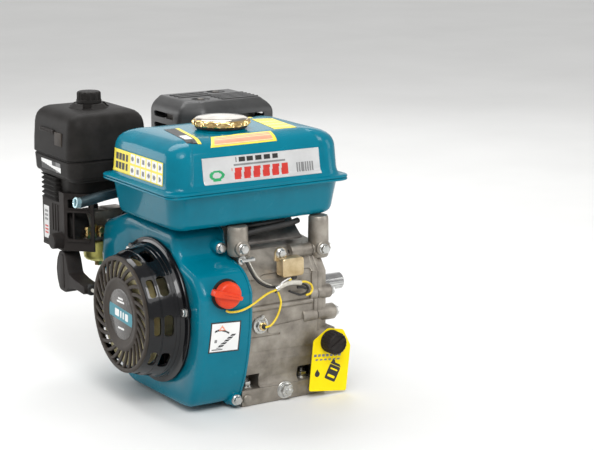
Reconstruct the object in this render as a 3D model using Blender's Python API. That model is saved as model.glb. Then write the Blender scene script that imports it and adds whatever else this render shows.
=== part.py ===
"""A small horizontal-shaft gasoline engine, built as an assembly of separate parts.

All sizes below are in millimetres and become metres when a mesh is made. X runs along the
crankshaft (+X is the driven end, -X the recoil starter), -Y is the front of the crankcase,
+Y is the cylinder side, +Z is up. The origin is on the base plane, under the crankshaft.
"""
import math

import bmesh
import bpy
from mathutils import Matrix, Vector

MM = 0.001

# Driving dimensions
CRANK_Z = 106.0
TILT = math.radians(25.0)
BORE_RADIUS = 35.0
STROKE = 55.0
ROD_LENGTH = 84.0
CASE_HALF = 50.0
COVER_END = 62.0
PAD_END = 78.0
SHAFT_RADIUS = 10.0
SHAFT_END = 139.0
JOURNAL_RADIUS = 12.5
BEARING_RADIUS = 26.0
BOLT_CIRCLE = 92.1
LEFT_EAR = (-46.0, -70.0)
RIGHT_EAR = (62.0, -70.0)
EAR_TOP = 208.6
BASE_HOLES_X = 37.5
BASE_HOLES_Y = (-71.0, 91.0)
GAP = 0.3

# Along the cylinder axis, measured from the crankshaft
DECK = 133.0
HEAD_END = 186.0
VALVE_COVER_END = 214.0
PISTON_CROWN = 132.0
PISTON_PIN = STROKE / 2 + ROD_LENGTH

# Camshaft drive
GEAR_MODULE = 2.0
CRANK_TEETH = 18
CAM_TEETH = 36
GEAR_ANGLE = math.radians(-65.0)
GEAR_SPAN = (30.0, 38.0)

# Blower housing and recoil starter
HOUSING_FRONT = -115.0
HOUSING_BACK = -54.0
CAN_FRONT = -157.5
GRILLE_FRONT = -161.0
GRILLE_RADIUS = 67.3
GRILLE_SLOTS = 28
REEL_RADIUS = 42.0
REEL_FLANGE = 61.0
ROPE_RADIUS = 2.0

# Fuel tank
TANK_SEAM = 252.0
TANK_BOTTOM = 209.0
TANK_TOP = 309.0
TANK_LOW = (-141.0, -87.2)
TANK_HIGH = (97.0, 84.3)
CAP_CENTRE = (-30.5, -8.0)

# Air cleaner and muffler
CLEANER_SEAM = 264.0
CLEANER_TOP = 320.0
CLEANER_LOW = (-166.0, 105.0)
CLEANER_HIGH = (-62.0, 222.0)
CLEANER_CORNER = 17.0
CLEANER_KNOB = (-117.0, 156.0)
MUFFLER_TOP = 320.0
CARB_AXIS = (162.0, 176.0)

# Front of the crankcase
OIL_FILLER = (59.5, 65.4)
SWITCH = (-86.0, 144.0)

CYLINDER_DIR = Vector((0.0, math.cos(TILT), math.sin(TILT)))
CYLINDER_SIDE = Vector((0.0, -math.sin(TILT), math.cos(TILT)))


# Frames: each turns local coordinates into the engine's own
def basis(origin, right, up, out):
    matrix = Matrix((right, up, out)).transposed().to_4x4()
    matrix.translation = Vector(origin)
    return matrix


def along_x(x=0.0, y=0.0, z=0.0):
    return basis((x, y, z), (0, 1, 0), (0, 0, 1), (1, 0, 0))


def along_y(x=0.0, y=0.0, z=0.0):
    return basis((x, y, z), (1, 0, 0), (0, 0, 1), (0, 1, 0))


def along_z(x=0.0, y=0.0, z=0.0):
    return basis((x, y, z), (1, 0, 0), (0, 1, 0), (0, 0, 1))


def along_cylinder(x=0.0, n=0.0):
    origin = Vector((x, 0, CRANK_Z)) + CYLINDER_SIDE * n
    return basis(origin, (1, 0, 0), CYLINDER_SIDE, CYLINDER_DIR)


def across_cylinder(x=0.0, t=0.0):
    """Local z points out of the upper side of the cylinder."""
    origin = Vector((x, 0, CRANK_Z)) + CYLINDER_DIR * t
    return basis(origin, (1, 0, 0), CYLINDER_DIR, CYLINDER_SIDE)


def rod_plane(x=0.0):
    """Local x is across the cylinder, local y is along it, local z is along the crankshaft."""
    return basis((x, 0, CRANK_Z), CYLINDER_SIDE, CYLINDER_DIR, (1, 0, 0))


def cylinder_point(x, n, t):
    return Vector((x, 0, CRANK_Z)) + CYLINDER_SIDE * n + CYLINDER_DIR * t


# Solids
def solid(bm, space):
    bmesh.ops.transform(bm, matrix=Matrix.Scale(MM, 4) @ space, verts=bm.verts)
    bmesh.ops.recalc_face_normals(bm, faces=bm.faces)
    mesh = bpy.data.meshes.new("solid")
    bm.to_mesh(mesh)
    bm.free()
    body = bpy.data.objects.new("solid", mesh)
    bpy.context.scene.collection.objects.link(body)
    return body


def loft(rings, space=None, closed=False):
    """Joins rings of equally many points. A closed loft returns to its first ring."""
    bm = bmesh.new()
    loops = [[bm.verts.new(p) for p in ring] for ring in rings]
    pairs = list(zip(loops, loops[1:]))
    if closed:
        pairs.append((loops[-1], loops[0]))
    for low, high in pairs:
        for i in range(len(low)):
            j = (i + 1) % len(low)
            bm.faces.new((low[i], low[j], high[j], high[i]))
    if not closed:
        bm.faces.new(loops[0][::-1])
        bm.faces.new(loops[-1])
    return solid(bm, space or Matrix.Identity(4))


def prism(outline, low, high, space=None):
    return loft([[(a, b, h) for a, b in outline] for h in (low, high)], space)


def box(low, high, space=None):
    outline = [(low[0], low[1]), (high[0], low[1]), (high[0], high[1]), (low[0], high[1])]
    return prism(outline, low[2], high[2], space)


def turned(profile, space, sides=24, phase=0.0):
    """A solid of revolution about local z, with its flat ends capped."""
    return loft([circle(radius, sides, height, phase) for radius, height in profile], space)


def ring(profile, space, sides=24):
    """A hollow solid of revolution about local z, from a closed profile."""
    return loft([circle(radius, sides, height) for radius, height in profile], space, closed=True)


def circle(radius, sides, height, phase=0.0):
    angles = [phase + math.tau * i / sides for i in range(sides)]
    return [(radius * math.cos(a), radius * math.sin(a), height) for a in angles]


def arc(centre, radius, start, end, steps):
    points = []
    for i in range(steps + 1):
        angle = math.radians(start + (end - start) * i / steps)
        points.append((centre[0] + radius * math.cos(angle), centre[1] + radius * math.sin(angle)))
    return points


def rounded(low, high, radius, steps=3):
    """A rectangle with round corners."""
    x0, y0, x1, y1 = low[0] + radius, low[1] + radius, high[0] - radius, high[1] - radius
    points = arc((x1, y1), radius, 0, 90, steps) + arc((x0, y1), radius, 90, 180, steps)
    return points + arc((x0, y0), radius, 180, 270, steps) + arc((x1, y0), radius, 270, 360, steps)


def inset(outline, amount):
    """Moves each edge of a counter-clockwise outline inwards."""
    points = [Vector(p) for p in outline]
    moved = []
    for i, point in enumerate(points):
        before = (point - points[i - 1]).normalized()
        after = (points[(i + 1) % len(points)] - point).normalized()
        normal = Vector((-before.y, before.x)) + Vector((-after.y, after.x))
        moved.append(tuple(point + normal * (2 * amount / normal.length_squared)))
    return moved


def smooth_route(points, steps):
    """A Catmull-Rom curve through the points, straight at both ends."""
    p = [Vector(q) for q in points]
    p = [2 * p[0] - p[1]] + p + [2 * p[-1] - p[-2]]
    route = []
    for a, b, c, d in zip(p, p[1:], p[2:], p[3:]):
        for i in range(steps):
            t = i / steps
            bend = (2 * a - 5 * b + 4 * c - d) * t * t + (3 * b - a - 3 * c + d) * t ** 3
            route.append(b + ((c - a) * t + bend) / 2)
    return route + [p[-2]]


def cord(points, radius, steps=3, resolution=2):
    """A round cord along a smooth route, as a bevelled curve."""
    curve = bpy.data.curves.new("cord", "CURVE")
    curve.dimensions = "3D"
    curve.bevel_depth = radius * MM
    curve.bevel_resolution = resolution
    curve.use_fill_caps = True
    route = smooth_route(points, steps)
    spline = curve.splines.new("POLY")
    spline.points.add(len(route) - 1)
    for point, place in zip(spline.points, route):
        point.co = (*(place * MM), 1.0)
    body = bpy.data.objects.new("cord", curve)
    bpy.context.scene.collection.objects.link(body)
    return body


def cord_solid(points, radius, steps=3, resolution=2):
    """The same round cord as a mesh, for joining to another solid."""
    route = cord(points, radius, steps, resolution)
    mesh = bpy.data.meshes.new_from_object(route)
    bpy.data.objects.remove(route)
    body = bpy.data.objects.new("cord", mesh)
    bpy.context.scene.collection.objects.link(body)
    return body


def combine(body, operation, others):
    for other in others:
        modifier = body.modifiers.new(operation, "BOOLEAN")
        modifier.operation = operation
        modifier.solver = "EXACT"
        modifier.object = other
        depsgraph = bpy.context.evaluated_depsgraph_get()
        mesh = bpy.data.meshes.new_from_object(body.evaluated_get(depsgraph))
        body.modifiers.clear()
        body.data = mesh
        bpy.data.objects.remove(other)
    return body


def join(body, *others):
    return combine(body, "UNION", others)


def cut(body, *others):
    return combine(body, "DIFFERENCE", others)


def merged(bodies):
    """Puts separate solids in one mesh, for use as one cutter or one addition."""
    bm = bmesh.new()
    for body in bodies:
        bm.from_mesh(body.data)
        bpy.data.objects.remove(body)
    mesh = bpy.data.meshes.new("merged")
    bm.to_mesh(mesh)
    bm.free()
    result = bpy.data.objects.new("merged", mesh)
    bpy.context.scene.collection.objects.link(result)
    return result


# Materials
PAINTS = {
    "teal_paint": ((0.0, 0.27, 0.37), 0.25, 0.2),
    "cast_aluminium": ((0.36, 0.34, 0.31), 0.5, 0.85),
    "forged_steel": ((0.30, 0.30, 0.30), 0.4, 1.0),
    "zinc_steel": ((0.62, 0.62, 0.60), 0.3, 1.0),
    "yellow_zinc": ((0.62, 0.50, 0.22), 0.35, 0.9),
    "gloss_black": ((0.01, 0.01, 0.01), 0.15, 0.1),
    "black_plastic": ((0.03, 0.027, 0.026), 0.5, 0.0),
    "grille_plastic": ((0.055, 0.045, 0.035), 0.55, 0.0),
    "red_plastic": ((0.70, 0.045, 0.01), 0.35, 0.0),
    "yellow_plastic": ((0.85, 0.68, 0.02), 0.4, 0.0),
    "white_ceramic": ((0.85, 0.84, 0.80), 0.2, 0.0),
    "rubber": ((0.02, 0.02, 0.02), 0.75, 0.0),
    "foam": ((0.10, 0.09, 0.08), 0.95, 0.0),
    "chrome_gold": ((0.75, 0.66, 0.48), 0.12, 1.0),
    "rope": ((0.75, 0.73, 0.66), 0.9, 0.0),
}


def material(name):
    found = bpy.data.materials.get(name)
    if found:
        return found
    colour, roughness, metallic = PAINTS[name]
    made = bpy.data.materials.new(name)
    made.use_nodes = True
    shader = made.node_tree.nodes["Principled BSDF"]
    shader.inputs["Base Color"].default_value = (*colour, 1.0)
    shader.inputs["Roughness"].default_value = roughness
    shader.inputs["Metallic"].default_value = metallic
    return made


def part(name, body, paint, pivot=None):
    """Names a finished body, paints it and puts its origin on its joint's axis."""
    body.name = name
    body.data.name = name
    body.data.materials.clear()
    body.data.materials.append(material(paint))
    if pivot is not None:
        place = Vector(pivot) * MM
        body.data.transform(Matrix.Translation(-place))
        body.location = place
    if body.type == "MESH":
        for face in body.data.polygons:
            face.use_smooth = True
        body.data.set_sharp_from_angle(angle=math.radians(35))
    return body


# Crankcase and its cover
CASE_OUTLINE = [
    (-84, 0), (104, 0), (104, 19), (100, 24), (84, 60), (79.4, 82.4), (33, 182), (-20, 180),
    (-62, 176), (-86, 146), (-86, 48), (-79, 24), (-84, 19),
]
CASE_CAVITY = [
    (-54, 9), (70, 9), (70, 62), (72, 82), (24, 174), (-20, 173), (-58, 169), (-79, 143), (-79, 60),
    (-54, 52),
]


def base_pockets():
    """Corner pockets above the foot, where the base bolts are reached."""
    pockets = []
    for side in (-1, 1):
        for low, high, top in ((-95, -59, 36), (78, 110, 40)):
            x0, x1 = sorted((side * 26, side * 56))
            pockets.append(box((x0, low, 19), (x1, high, top)))
    return pockets


def base_bolt_holes():
    places = [(side * BASE_HOLES_X, y) for side in (-1, 1) for y in BASE_HOLES_Y]
    return [turned([(4.5, -1), (4.5, 30)], along_z(x, y), 8) for x, y in places]


def finned_barrel():
    barrel = turned([(43, 50), (43, DECK)], along_cylinder(), 28)
    tunnel = box((-20, -55, 50), (20, -36, DECK - 0.2), along_cylinder())
    fins = [box((-49.7, -49, t), (49.7, 50, t + 3), along_cylinder()) for t in range(66, 122, 11)]
    return [barrel, tunnel] + fins


def crankcase():
    body = prism(CASE_OUTLINE, -CASE_HALF, CASE_HALF, along_x())
    boss = turned([(33, -61.5), (33, -40)], along_x(0, 0, CRANK_Z), 24)
    ear = turned([(11, 175), (11, EAR_TOP)], along_z(*LEFT_EAR), 20)
    ear_foot = box((-49.5, -77, 150), (-34, -62, 185))
    join(body, *finned_barrel(), boss, ear, ear_foot)
    cut(body, prism(CASE_CAVITY, -42, CASE_HALF + 1, along_x()))
    cut(body, turned([(BORE_RADIUS, 40), (BORE_RADIUS, DECK + 1)], along_cylinder(), 32))
    cut(body, box((-16, -52, 40), (16, -45.5, DECK + 1), along_cylinder()))
    bearing_bore = turned([(26.3, -63), (26.3, -46.2)], along_x(0, 0, CRANK_Z), 24)
    shaft_hole = turned([(15, -63), (15, -38)], along_x(0, 0, CRANK_Z), 16)
    cut(body, bearing_bore, shaft_hole, merged(base_pockets()), merged(base_bolt_holes()))
    joint_bosses = [
        turned([(9, 31), (9, CASE_HALF)], along_x(0, -80, 95), 12),
        turned([(8, 40), (8, CASE_HALF)], along_x(0, -82, 121), 12),
        turned([(8, 22), (8, CASE_HALF)], along_x(0, -70, 170), 12),
    ]
    join(body, *joint_bosses)
    return part("crankcase", body, "cast_aluminium")


def oil_filler_neck():
    neck = turned([(14, -98), (14, -86.4)], along_y(OIL_FILLER[0], 0, OIL_FILLER[1]), 20)
    root = box((50.6, -90, 53), (72, -70, 78))
    return neck, root


def crankcase_side_cover():
    body = prism(CASE_OUTLINE, CASE_HALF + GAP, COVER_END, along_x())
    pad = turned([(57, 58), (57, PAD_END)], along_x(0, 0, CRANK_Z), 32)
    ear = turned([(10.5, 160), (10.5, EAR_TOP)], along_z(*RIGHT_EAR), 20)
    bosses = [
        turned([(9, 50.6), (9, 76)], along_x(0, -80, 95), 12),
        turned([(8, 50.6), (8, 69)], along_x(0, -82, 121), 12),
        turned([(8, 50.6), (8, 71)], along_x(0, -70, 170), 12),
    ]
    join(body, pad, ear, *oil_filler_neck(), *bosses)
    cut(body, prism(inset(CASE_OUTLINE, 9), CASE_HALF, 56, along_x()))
    cut(body, turned([(26.3, 50), (26.3, 72.3)], along_x(0, 0, CRANK_Z), 24))
    cut(body, turned([(13.5, 70), (13.5, PAD_END + 1)], along_x(0, 0, CRANK_Z), 16))
    holes = []
    for i in range(4):
        angle = math.tau * (i + 0.5) / 4
        y = BOLT_CIRCLE / 2 * math.cos(angle)
        z = CRANK_Z + BOLT_CIRCLE / 2 * math.sin(angle)
        holes.append(turned([(4, 60.5), (4, PAD_END + 1)], along_x(0, y, z), 8))
    cut(body, merged(holes))
    cut(body, turned([(9, -99), (9, -78)], along_y(OIL_FILLER[0], 0, OIL_FILLER[1]), 20))
    return part("crankcase_side_cover", body, "cast_aluminium")


def bearings():
    for name, low, high in (("flywheel_side_bearing", -61.3, -46.5), ("pto_side_bearing", 57.0, 72.0)):
        profile = [(BEARING_RADIUS, low), (BEARING_RADIUS, high), (12.9, high), (12.9, low)]
        part(name, ring(profile, along_x(0, 0, CRANK_Z), 24), "zinc_steel")


def oil_fittings():
    drain = turned([(8.5, -93), (8.5, -88), (11, -88), (11, -84.3)], along_y(7, 0, 11.5), 12)
    part("oil_drain_bolt", drain, "zinc_steel")
    profile = [(3, -96), (3, -93), (6.5, -92.5), (6.5, -89), (9.3, -89), (9.3, -86.3)]
    part("oil_level_switch", turned(profile, along_y(-27, 0, 94), 12), "zinc_steel")
    unit = box((-6, -102, 149), (23, -86.4, 171))
    screw = turned([(5, -98), (5, -84)], along_y(-1, 0, 174), 12)
    lug = box((-8, -91, 166), (7, -88, 182))
    part("oil_alert_unit", join(unit, lug, screw), "yellow_zinc")


# Running gear
def gear_outline(teeth, phase):
    """Straight-sided teeth with clearance, the first one centred on the phase angle."""
    pitch = GEAR_MODULE * teeth / 2
    points = []
    for i in range(teeth):
        middle = phase + math.tau * i / teeth
        for offset, radius in ((-0.29, -2.3), (-0.11, 1.5), (0.11, 1.5), (0.29, -2.3)):
            angle = middle + offset * math.tau / teeth
            points.append(((pitch + radius) * math.cos(angle), (pitch + radius) * math.sin(angle)))
    return points


def web(low, high):
    """A crank web: a round counterweight with a narrower arm to the pin."""
    outline = arc((0, 0), 38.5, 205, 335, 8) + [(17, 10)] + arc((0, STROKE / 2), 17, 15, 165, 6)
    return prism(outline + [(-17, 10)], low, high, rod_plane())


def crankshaft_halves():
    axis = along_x(0, 0, CRANK_Z)
    driven = [(12.5, 26), (JOURNAL_RADIUS, 80), (SHAFT_RADIUS, 80.5), (SHAFT_RADIUS, SHAFT_END - 1),
              (SHAFT_RADIUS - 1, SHAFT_END)]
    body = turned(driven, axis, 20)
    join(body, web(13, 27), prism(gear_outline(CRANK_TEETH, GEAR_ANGLE), *GEAR_SPAN, axis))
    part("crankshaft_pto_half", body, "forged_steel", (0, 0, CRANK_Z))
    flywheel_end = [(12.5, -26), (JOURNAL_RADIUS, -63), (SHAFT_RADIUS, -64), (SHAFT_RADIUS, -112)]
    body = join(turned(flywheel_end, axis, 20), web(-27, -13))
    part("crankshaft_flywheel_half", body, "forged_steel", (0, 0, CRANK_Z))


def camshaft():
    distance = GEAR_MODULE * (CRANK_TEETH + CAM_TEETH) / 2
    y = distance * math.cos(GEAR_ANGLE)
    z = CRANK_Z + distance * math.sin(GEAR_ANGLE)
    axis = along_x(0, y, z)
    half_tooth = math.pi / CAM_TEETH
    gear = prism(gear_outline(CAM_TEETH, GEAR_ANGLE + math.pi + half_tooth), *GEAR_SPAN, axis)
    lobes = [prism(arc((0, 0), 8, 60, 300, 8) + arc((4, 0), 6, -40, 40, 4), low, low + 6, axis)
             for low in (-10, 4)]
    body = join(turned([(7, -40), (7, 54)], axis, 16), gear, *lobes)
    part("camshaft", body, "forged_steel", (0, y, z))


def piston():
    body = turned([(34.6, PISTON_PIN - 10.2), (34.6, PISTON_CROWN)], along_cylinder(), 32)
    cut(body, turned([(30.5, 90), (30.5, 126.5)], along_cylinder(), 32))
    cut(body, turned([(9.3, -40), (9.3, 40)], rod_plane_at(PISTON_PIN), 16))
    part("piston", body, "cast_aluminium", cylinder_point(0, 0, PISTON_PIN))


def rod_plane_at(t):
    return basis(cylinder_point(0, 0, t), CYLINDER_SIDE, CYLINDER_DIR, (1, 0, 0))


def piston_pin():
    body = turned([(9, -32), (9, 32)], rod_plane_at(PISTON_PIN), 16)
    part("piston_pin", body, "forged_steel", cylinder_point(0, 0, PISTON_PIN))


def connecting_rod():
    big = arc((0, STROKE / 2), 23, 70, -250, 16)
    small = arc((0, PISTON_PIN), 13.5, 235, -55, 12)
    body = prism(big[::-1] + small[::-1], -10, 10, rod_plane())
    cut(body, turned([(15.4, -12), (15.4, 12)], rod_plane_at(STROKE / 2), 24))
    cut(body, turned([(9.3, -12), (9.3, 12)], rod_plane_at(PISTON_PIN), 16))
    part("connecting_rod", body, "cast_aluminium", cylinder_point(0, 0, STROKE / 2))


def crank_pin():
    body = turned([(15, -12.6), (15, 12.6)], rod_plane_at(STROKE / 2), 24)
    part("crank_pin", body, "forged_steel", cylinder_point(0, 0, STROKE / 2))


# Cylinder head and valves
VALVE_X = 17.0
VALVE_N = 4.0
ROCKER_N = -20.0
ROCKER_T = 200.0


def cylinder_head():
    core = box((-42, -54, DECK + GAP), (42, 42, HEAD_END), along_cylinder())
    flange = box((-48, -50, DECK + GAP), (48, 50, DECK + 6), along_cylinder())
    fins = [box((-48, -50, t), (48, 50, t + 3), along_cylinder()) for t in (150, 160, 170)]
    inlet = box((-47.6, -24, 150), (-40, 14, HEAD_END - 1), along_cylinder())
    outlet = box((40, -14, 141), (47.6, 24, 177), along_cylinder())
    stands = [box((x - 5, -24, 180), (x + 5, -16, 193.5), along_cylinder()) for x in (-VALVE_X, VALVE_X)]
    join(core, flange, *fins, inlet, outlet, *stands)
    for x in (-VALVE_X, VALVE_X):
        cut(core, turned([(15.5, 130), (15.5, 147)], along_cylinder(x, VALVE_N), 20))
        cut(core, turned([(3.5, 140), (3.5, HEAD_END + 1)], along_cylinder(x, VALVE_N), 12))
    cut(core, box((-16, -52, 130), (16, -45.5, HEAD_END + 1), along_cylinder()))
    part("cylinder_head", core, "cast_aluminium")


def valve_cover():
    outer = [rounded((-44 + i, -54 + i), (44 - i, 44 - i), 12, 2) for i in (0, 0, 4)]
    levels = (HEAD_END + GAP, VALVE_COVER_END - 5, VALVE_COVER_END)
    body = loft([[(a, b, h) for a, b in o] for o, h in zip(outer, levels)], along_cylinder())
    hollow = rounded((-41, -51), (41, 41), 9, 2)
    cut(body, prism(hollow, HEAD_END, VALVE_COVER_END - 3, along_cylinder()))
    part("valve_cover", body, "zinc_steel")


def valves():
    for name, x in (("intake_valve", -VALVE_X), ("exhaust_valve", VALVE_X)):
        profile = [(14, 143), (14, 144.5), (3, 146.7), (3, 196.2)]
        body = turned(profile, along_cylinder(x, VALVE_N), 16)
        part(name, body, "forged_steel", cylinder_point(x, VALVE_N, 144))


def rocker_arms():
    for name, x in (("intake_rocker_arm", -VALVE_X), ("exhaust_rocker_arm", VALVE_X)):
        outline = [(-38, 197), (10, 197), (10, 201), (-14, 206), (-26, 206), (-38, 202)]
        body = prism(outline, x - 5, x + 5, rod_plane())
        cut(body, turned([(2.4, x - 6), (2.4, x + 6)], basis(cylinder_point(0, ROCKER_N, ROCKER_T),
                                                        CYLINDER_SIDE, CYLINDER_DIR, (1, 0, 0)), 12))
        part(name, body, "forged_steel", cylinder_point(x, ROCKER_N, ROCKER_T))


def ignition():
    plug_axis = across_cylinder(-32, 160)
    # The plug stands on the head's upper side, clear of its top fin.
    plug = turned([(9.5, 50.3), (9.5, 56), (6, 56.5), (6, 64), (3, 64.5), (3, 76)], plug_axis, 12)
    part("spark_plug", plug, "white_ceramic")
    boot = ring([(11, 64.4), (11, 84), (8, 92), (3.4, 92), (3.4, 76.4), (6.4, 64.8)][::-1], plug_axis, 16)
    top = across_cylinder(-32, 160) @ Vector((0, 0, 91))
    route = [top, top + Vector((-1, -3, 6)), (-40, 92, 257), (-44, 93, 240), (-46, 89, 226),
             (-51, 82, 212), (-57, 72, 203), (-63, 58, 197.5), (-68, 46, 196), (-73, 40, 196.5)]
    part("spark_plug_lead", join(boot, cord_solid(route, 3.6, 1)), "rubber")
    angle = math.radians(70)
    out = (0, math.cos(angle), math.sin(angle))
    side = (0, -math.sin(angle), math.cos(angle))
    space = basis((0, 0, CRANK_Z), (1, 0, 0), side, out)
    coil = box((-82, -20, 81.5), (-64, 20, 92), space)
    part("ignition_coil", coil, "black_plastic")


# Flywheel, fan and starter
def flywheel_group():
    axis = along_x(0, 0, CRANK_Z)
    rim = [(10.5, -64.5), (20, -64.5), (20, -72), (70, -72), (70, -66), (80, -66), (80, -83.7),
           (20, -83.7), (20, -92), (10.5, -92)]
    part("flywheel", ring(rim, axis, 24), "cast_aluminium", (0, 0, CRANK_Z))
    fan = ring([(21, -87), (80, -87), (80, -84.2), (21, -84.2)], axis, 28)
    blades = []
    for i in range(12):
        turn = Matrix.Rotation(math.tau * i / 12, 4, "Z")
        blades.append(box((50, -1.5, -104), (79, 1.5, -85), axis @ turn))
    part("cooling_fan", join(fan, merged(blades)), "black_plastic", (0, 0, CRANK_Z))
    cup = ring([(10.4, -92.3), (10.4, -95), (31.5, -95), (31.5, -130), (34, -130), (34, -92.3)], axis, 20)
    part("starter_cup", cup, "zinc_steel", (0, 0, CRANK_Z))
    hole = turned([(10.4, -94), (10.4, -108)], axis, 16)
    blank = turned([(16, -107), (16, -95.3)], axis, 6)
    part("flywheel_nut", cut(blank, hole), "zinc_steel", (0, 0, CRANK_Z))


HOUSING_OUTLINE = [
    (-60, 4), (60, 2), (72, 4), (83, 10), (95, 36), (104, 70), (125, 108), (141, 141), (132, 186),
    (74, 205.5), (-40, 203), (-48, 198), (-50, 183), (-57, 173), (-75, 168), (-92, 163), (-103, 153),
    (-110, 142), (-109, 105), (-104, 72), (-94, 36), (-80, 9),
]


def blower_housing():
    nose = inset(HOUSING_OUTLINE, 4)
    levels = [(nose, HOUSING_FRONT), (HOUSING_OUTLINE, HOUSING_FRONT + 4), (HOUSING_OUTLINE, HOUSING_BACK)]
    body = loft([[(a, b, h) for a, b in o] for o, h in levels], along_x())
    cut(body, prism(inset(HOUSING_OUTLINE, 2.5), HOUSING_FRONT + 2.5, HOUSING_BACK + 1, along_x()))
    cut(body, turned([(74, HOUSING_FRONT - 1), (74, HOUSING_FRONT + 5)], along_x(0, 0, CRANK_Z), 40))
    # A slot in the upper edge lets the ignition lead out.
    cut(body, box((-64, 56, 190), (-53, 90, 210)))
    part("blower_housing", body, "teal_paint")


def recoil_can():
    profile = [(67, CAN_FRONT), (77.5, -119), (84, -118), (84, HOUSING_FRONT - GAP),
               (75, HOUSING_FRONT - GAP), (75, -119), (64.5, CAN_FRONT)]
    body = ring(profile[::-1], along_x(0, 0, CRANK_Z), 32)
    windows = []
    for i in range(10):
        if i == 0:
            continue
        turn = Matrix.Rotation(math.tau * i / 10, 4, "Z")
        space = along_x(0, 0, CRANK_Z) @ turn
        windows.append(prism(rounded((-13, -150), (13, -128), 8, 1), 60, 90,
                             space @ basis((0, 0, 0), (0, 1, 0), (0, 0, 1), (1, 0, 0))))
    cut(body, merged(windows))
    cut(body, turned([(7, 60), (7, 90)], along_y(-145, 0, 107.5), 12))
    part("recoil_can", body, "gloss_black")


def recoil_grille():
    axis = along_x(0, 0, CRANK_Z)
    body = turned([(GRILLE_RADIUS - 2, GRILLE_FRONT), (GRILLE_RADIUS, GRILLE_FRONT + 1.5),
                   (GRILLE_RADIUS, CAN_FRONT - GAP)], axis, 40)
    slots = []
    lead = math.radians(17)
    for i in range(GRILLE_SLOTS):
        start = math.tau * i / GRILLE_SLOTS
        corners = []
        for radius, angle, half in ((42, start, -1.7), (62.4, start + lead, -2.7),
                                    (62.4, start + lead, 2.7), (42, start, 1.7)):
            turn = angle + half / radius
            corners.append((radius * math.cos(turn), radius * math.sin(turn)))
        slots.append(prism(corners, GRILLE_FRONT - 1, CAN_FRONT + 1, axis))
    cut(body, merged(slots))
    post = turned([(9, CAN_FRONT - 1), (9, -136)], axis, 12)
    part("recoil_grille", join(body, post), "grille_plastic")


def recoil_reel():
    profile = [(9.4, -153), (REEL_FLANGE, -153), (REEL_FLANGE, -150), (REEL_RADIUS, -150),
               (REEL_RADIUS, -140), (REEL_FLANGE, -140), (REEL_FLANGE, -137.5), (9.4, -137.5)]
    body = ring(profile, along_x(0, 0, CRANK_Z), 24)
    part("recoil_reel", body, "black_plastic", (0, 0, CRANK_Z))


def starter_pull():
    grip = [(102, 105), (128, 107), (147, 104), (153, 97), (171, 98), (177, 110), (179, 122),
            (176, 136), (169, 146.5), (155, 147), (150, 138), (145, 122), (128, 118), (102, 115)]
    body = prism(grip, -155, -135, along_x())
    part("starter_handle", body, "black_plastic", (-145, 147, 110))
    route = [(-145, 29.9, 73), (-145, 40, 81.7), (-145, 52, 92.5), (-145, 62, 102), (-145, 70, 108.5),
             (-145, 80, 110.5), (-145, 90, 110.2), (-145, 101.6, 110)]
    part("starter_rope", cord(route, ROPE_RADIUS, 2), "rope")


# Fuel tank
def tank_ring(amount, height, radius):
    low = (TANK_LOW[0] + amount, TANK_LOW[1] + amount)
    high = (TANK_HIGH[0] - amount, TANK_HIGH[1] - amount)
    return [(a, b, height) for a, b in rounded(low, high, radius, 3)]


def tank_lower_shell():
    outside = [tank_ring(18, TANK_BOTTOM, 12), tank_ring(12, TANK_BOTTOM + 3, 16),
               tank_ring(7, TANK_SEAM - 3, 20), tank_ring(0, TANK_SEAM - 3, 14),
               tank_ring(0, TANK_SEAM, 14)]
    inside = [tank_ring(9, TANK_SEAM, 18), tank_ring(14, TANK_BOTTOM + 4.5, 14),
              tank_ring(19, TANK_BOTTOM + 2, 10)]
    part("tank_lower_shell", loft(outside + inside), "teal_paint")


def tank_upper_shell():
    outer = [(0, TANK_SEAM + GAP, 14), (0, TANK_SEAM + 3, 14), (7, TANK_SEAM + 4, 20), (9, 290, 20),
             (12, 299, 19), (20, 306, 15), (34, TANK_TOP, 8)]
    hollow = [(9, TANK_SEAM - 1, 18), (11, 289, 18), (14, 297, 17), (22, 304, 13), (36, TANK_TOP - 2, 6)]
    body = loft([tank_ring(*size) for size in outer])
    cut(body, loft([tank_ring(*size) for size in hollow]))
    neck = turned([(27, TANK_TOP - 4), (27, TANK_TOP + 2)], along_z(*CAP_CENTRE), 24)
    join(body, neck)
    cut(body, turned([(22.5, 290), (22.5, TANK_TOP + 3)], along_z(*CAP_CENTRE), 24))
    part("tank_upper_shell", body, "teal_paint")


def fuel_cap():
    axis = along_z(*CAP_CENTRE)
    top = TANK_TOP + 2 + GAP
    gasket = ring([(23, top), (30, top), (30, top + 2.4), (23, top + 2.4)], axis, 24)
    part("fuel_cap_gasket", gasket, "rubber", (*CAP_CENTRE, top))
    profile = [(20, top + 0.6), (20, top + 2.4 + GAP), (33, top + 2.4 + GAP), (34, top + 6), (30, 322),
               (22, 323)]
    part("fuel_cap", turned(profile, axis, 24), "chrome_gold", (*CAP_CENTRE, top))


def fuel_hose():
    route = [(-57, 76.6, 229), (-57, 84, 224), (-58, 96, 215), (-62, 112, 208), (-69, 126, 201),
             (-77, 137, 191.5), (-79.7, 142, 187), (-80, 146.4, 185.3)]
    part("fuel_hose", cord(route, 3.5, 2), "rubber")


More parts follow.
